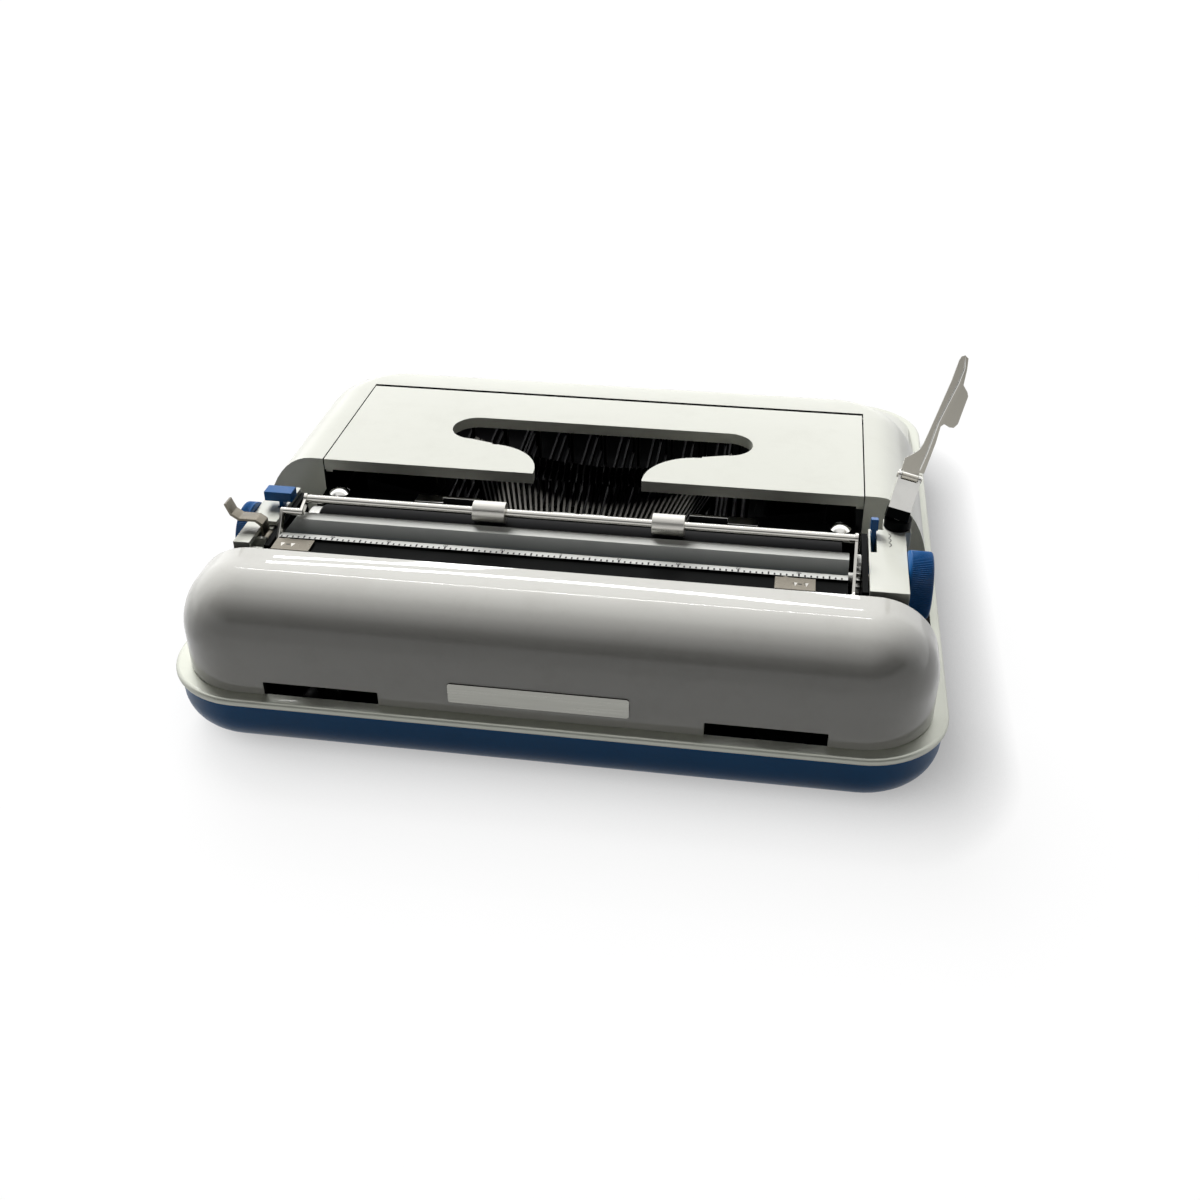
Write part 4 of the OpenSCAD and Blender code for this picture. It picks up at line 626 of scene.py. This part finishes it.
def seen_rays(tree):
    """1 for what the camera sees, straight or in metal and glass, and 0 for scattered light."""
    rays = add(tree, "ShaderNodeLightPath").outputs
    first = add(tree, "ShaderNodeMath", links={0: rays["Is Camera Ray"], 1: rays["Is Glossy Ray"]},
                operation="MAXIMUM")
    both = add(tree, "ShaderNodeMath", links={0: first.outputs[0], 1: rays["Is Transmission Ray"]},
               operation="MAXIMUM")
    return both.outputs[0]


floor_mesh = bpy.data.meshes.new("floor")
half = FLOOR_SIZE / 2
floor_mesh.from_pydata([(-half, -half, 0), (half, -half, 0), (half, half, 0), (-half, half, 0)], [], [(0, 1, 2, 3)])
floor = bpy.data.objects.new("floor", floor_mesh)
SCENE.collection.objects.link(floor)
paper, paper_tree, paper_shader = finish_of("white_paper", "#ffffff", Roughness=0.9, Specular_IOR_Level=0.1)
seen = seen_rays(paper_tree)
tone = add(paper_tree, "ShaderNodeMapRange", {"To Min": FLOOR_BOUNCE, "To Max": FLOOR_SEEN}, {"Value": seen})
paper_tree.links.new(tone.outputs["Result"], paper_shader.inputs["Base Color"])
# Painted shadow: ambient occlusion tilted towards CONTACT_SIDE dims the floor's white glow beside the machine
painted_shadow_tilt = add(paper_tree, "ShaderNodeCombineXYZ", CONTACT_SIDE)
near = add(paper_tree, "ShaderNodeAmbientOcclusion", {"Distance": CONTACT_REACH},
           {"Normal": painted_shadow_tilt.outputs["Vector"]})
open_share = add(paper_tree, "ShaderNodeMapRange", {"To Min": FLOOR_LIFT * (1 - CONTACT_SHARE), "To Max": FLOOR_LIFT},
                 {"Value": near.outputs["AO"]})
lift = add(paper_tree, "ShaderNodeMath", links={0: seen, 1: open_share.outputs["Result"]}, operation="MULTIPLY")
paper_tree.links.new(lift.outputs[0], paper_shader.inputs["Emission Strength"])
paper_shader.inputs["Emission Color"].default_value = (1, 1, 1, 1)
floor_mesh.materials.append(paper)

world = bpy.data.worlds.new("studio")
SCENE.world = world
world.use_nodes = True
sky = world.node_tree
sky_rays = add(sky, "ShaderNodeLightPath").outputs
way = add(sky, "ShaderNodeSeparateXYZ", links={"Vector": add(sky, "ShaderNodeTexCoord").outputs["Generated"]}).outputs
wall = add(sky, "ShaderNodeMapRange", MIRRORED_WALL, {"Value": way["Z"]}).outputs["Result"]
above = add(sky, "ShaderNodeMapRange", MIRRORED_CEILING, {"Value": way["Z"]}).outputs["Result"]
front = add(sky, "ShaderNodeMapRange", MIRRORED_FRONT, {"Value": way["Y"]}).outputs["Result"]
bright = add(sky, "ShaderNodeMath", links={0: wall, 1: above}, operation="MAXIMUM").outputs[0]
bright = add(sky, "ShaderNodeMath", links={0: bright, 1: front}, operation="MAXIMUM").outputs[0]
bright = add(sky, "ShaderNodeMath", {1: MIRRORED_LOW}, {0: bright}, operation="MAXIMUM").outputs[0]
mirrored = add(sky, "ShaderNodeMix", {"A": WORLD_FILL}, {"Factor": sky_rays["Is Glossy Ray"], "B": bright})
strength = add(sky, "ShaderNodeMix", {"B": 1.0},
               {"Factor": sky_rays["Is Camera Ray"], "A": mirrored.outputs["Result"]})
backdrop = sky.nodes["Background"]
backdrop.inputs["Color"].default_value = (1, 1, 1, 1)
sky.links.new(strength.outputs["Result"], backdrop.inputs["Strength"])


def aimed(name, light, place, target):
    """A lamp at a place that faces a target."""
    holder = bpy.data.objects.new(name, light)
    turn = (Vector(target) - Vector(place)).to_track_quat("-Z", "Y").to_matrix().to_4x4()
    holder.matrix_world = Matrix.Translation(place) @ turn
    SCENE.collection.objects.link(holder)
    return holder


# A broad soft light from the front and above, a little from the typist's right; gloss doesn't mirror its disc
SOFT_BOX_ENERGY = 4.15
SOFT_BOX_ANGLE = math.radians(30)
SOFT_BOX_FROM = (0.55, -0.9, 1.0)
main_light = bpy.data.lights.new("soft_box", "SUN")
main_light.energy = SOFT_BOX_ENERGY
main_light.angle = SOFT_BOX_ANGLE
aimed("soft_box", main_light, SOFT_BOX_FROM, (0, 0, 0)).visible_glossy = False

# Tubes along X that draw thin lines on the enamel: Y and width of each
TUBES = ((-1.76, 0.008), (-1.72, 0.008), (-1.2, 0.024))
TUBE_LENGTH = 1.35
TUBE_POWER = 85
TUBE_X, TUBE_Z = 0.36, 1.25
TUBE_TARGET = (0.36, 0.13, 0.07)
for number, (tube_y, tube_width) in enumerate(TUBES):
    tube = bpy.data.lights.new("tube_%d" % number, "AREA")
    tube.shape = "RECTANGLE"
    tube.size, tube.size_y = TUBE_LENGTH, tube_width
    tube.energy = TUBE_POWER * tube_width
    aimed("tube_%d" % number, tube, (TUBE_X, tube_y, TUBE_Z), TUBE_TARGET)

# Camera behind and above the machine: place, axes and lens
EYE = Vector((-91.8, 590.9, 370.9)) * MM
RIGHT = Vector((-0.98850, -0.15123, -0.00214))
UP = Vector((0.08031, -0.53685, 0.83984))
AHEAD = Vector((0.12815, -0.83001, -0.54282))
SENSOR_WIDTH = 36.0
LENS = 40.1
camera = bpy.data.cameras.new("camera")
camera.sensor_width = SENSOR_WIDTH
camera.lens = LENS
camera.clip_start = 0.01
viewer = bpy.data.objects.new("camera", camera)
viewer.matrix_world = Matrix.Translation(EYE) @ Matrix((RIGHT, UP, -AHEAD)).transposed().to_4x4()
SCENE.collection.objects.link(viewer)
SCENE.camera = viewer
SCENE.view_settings.view_transform = "Standard"
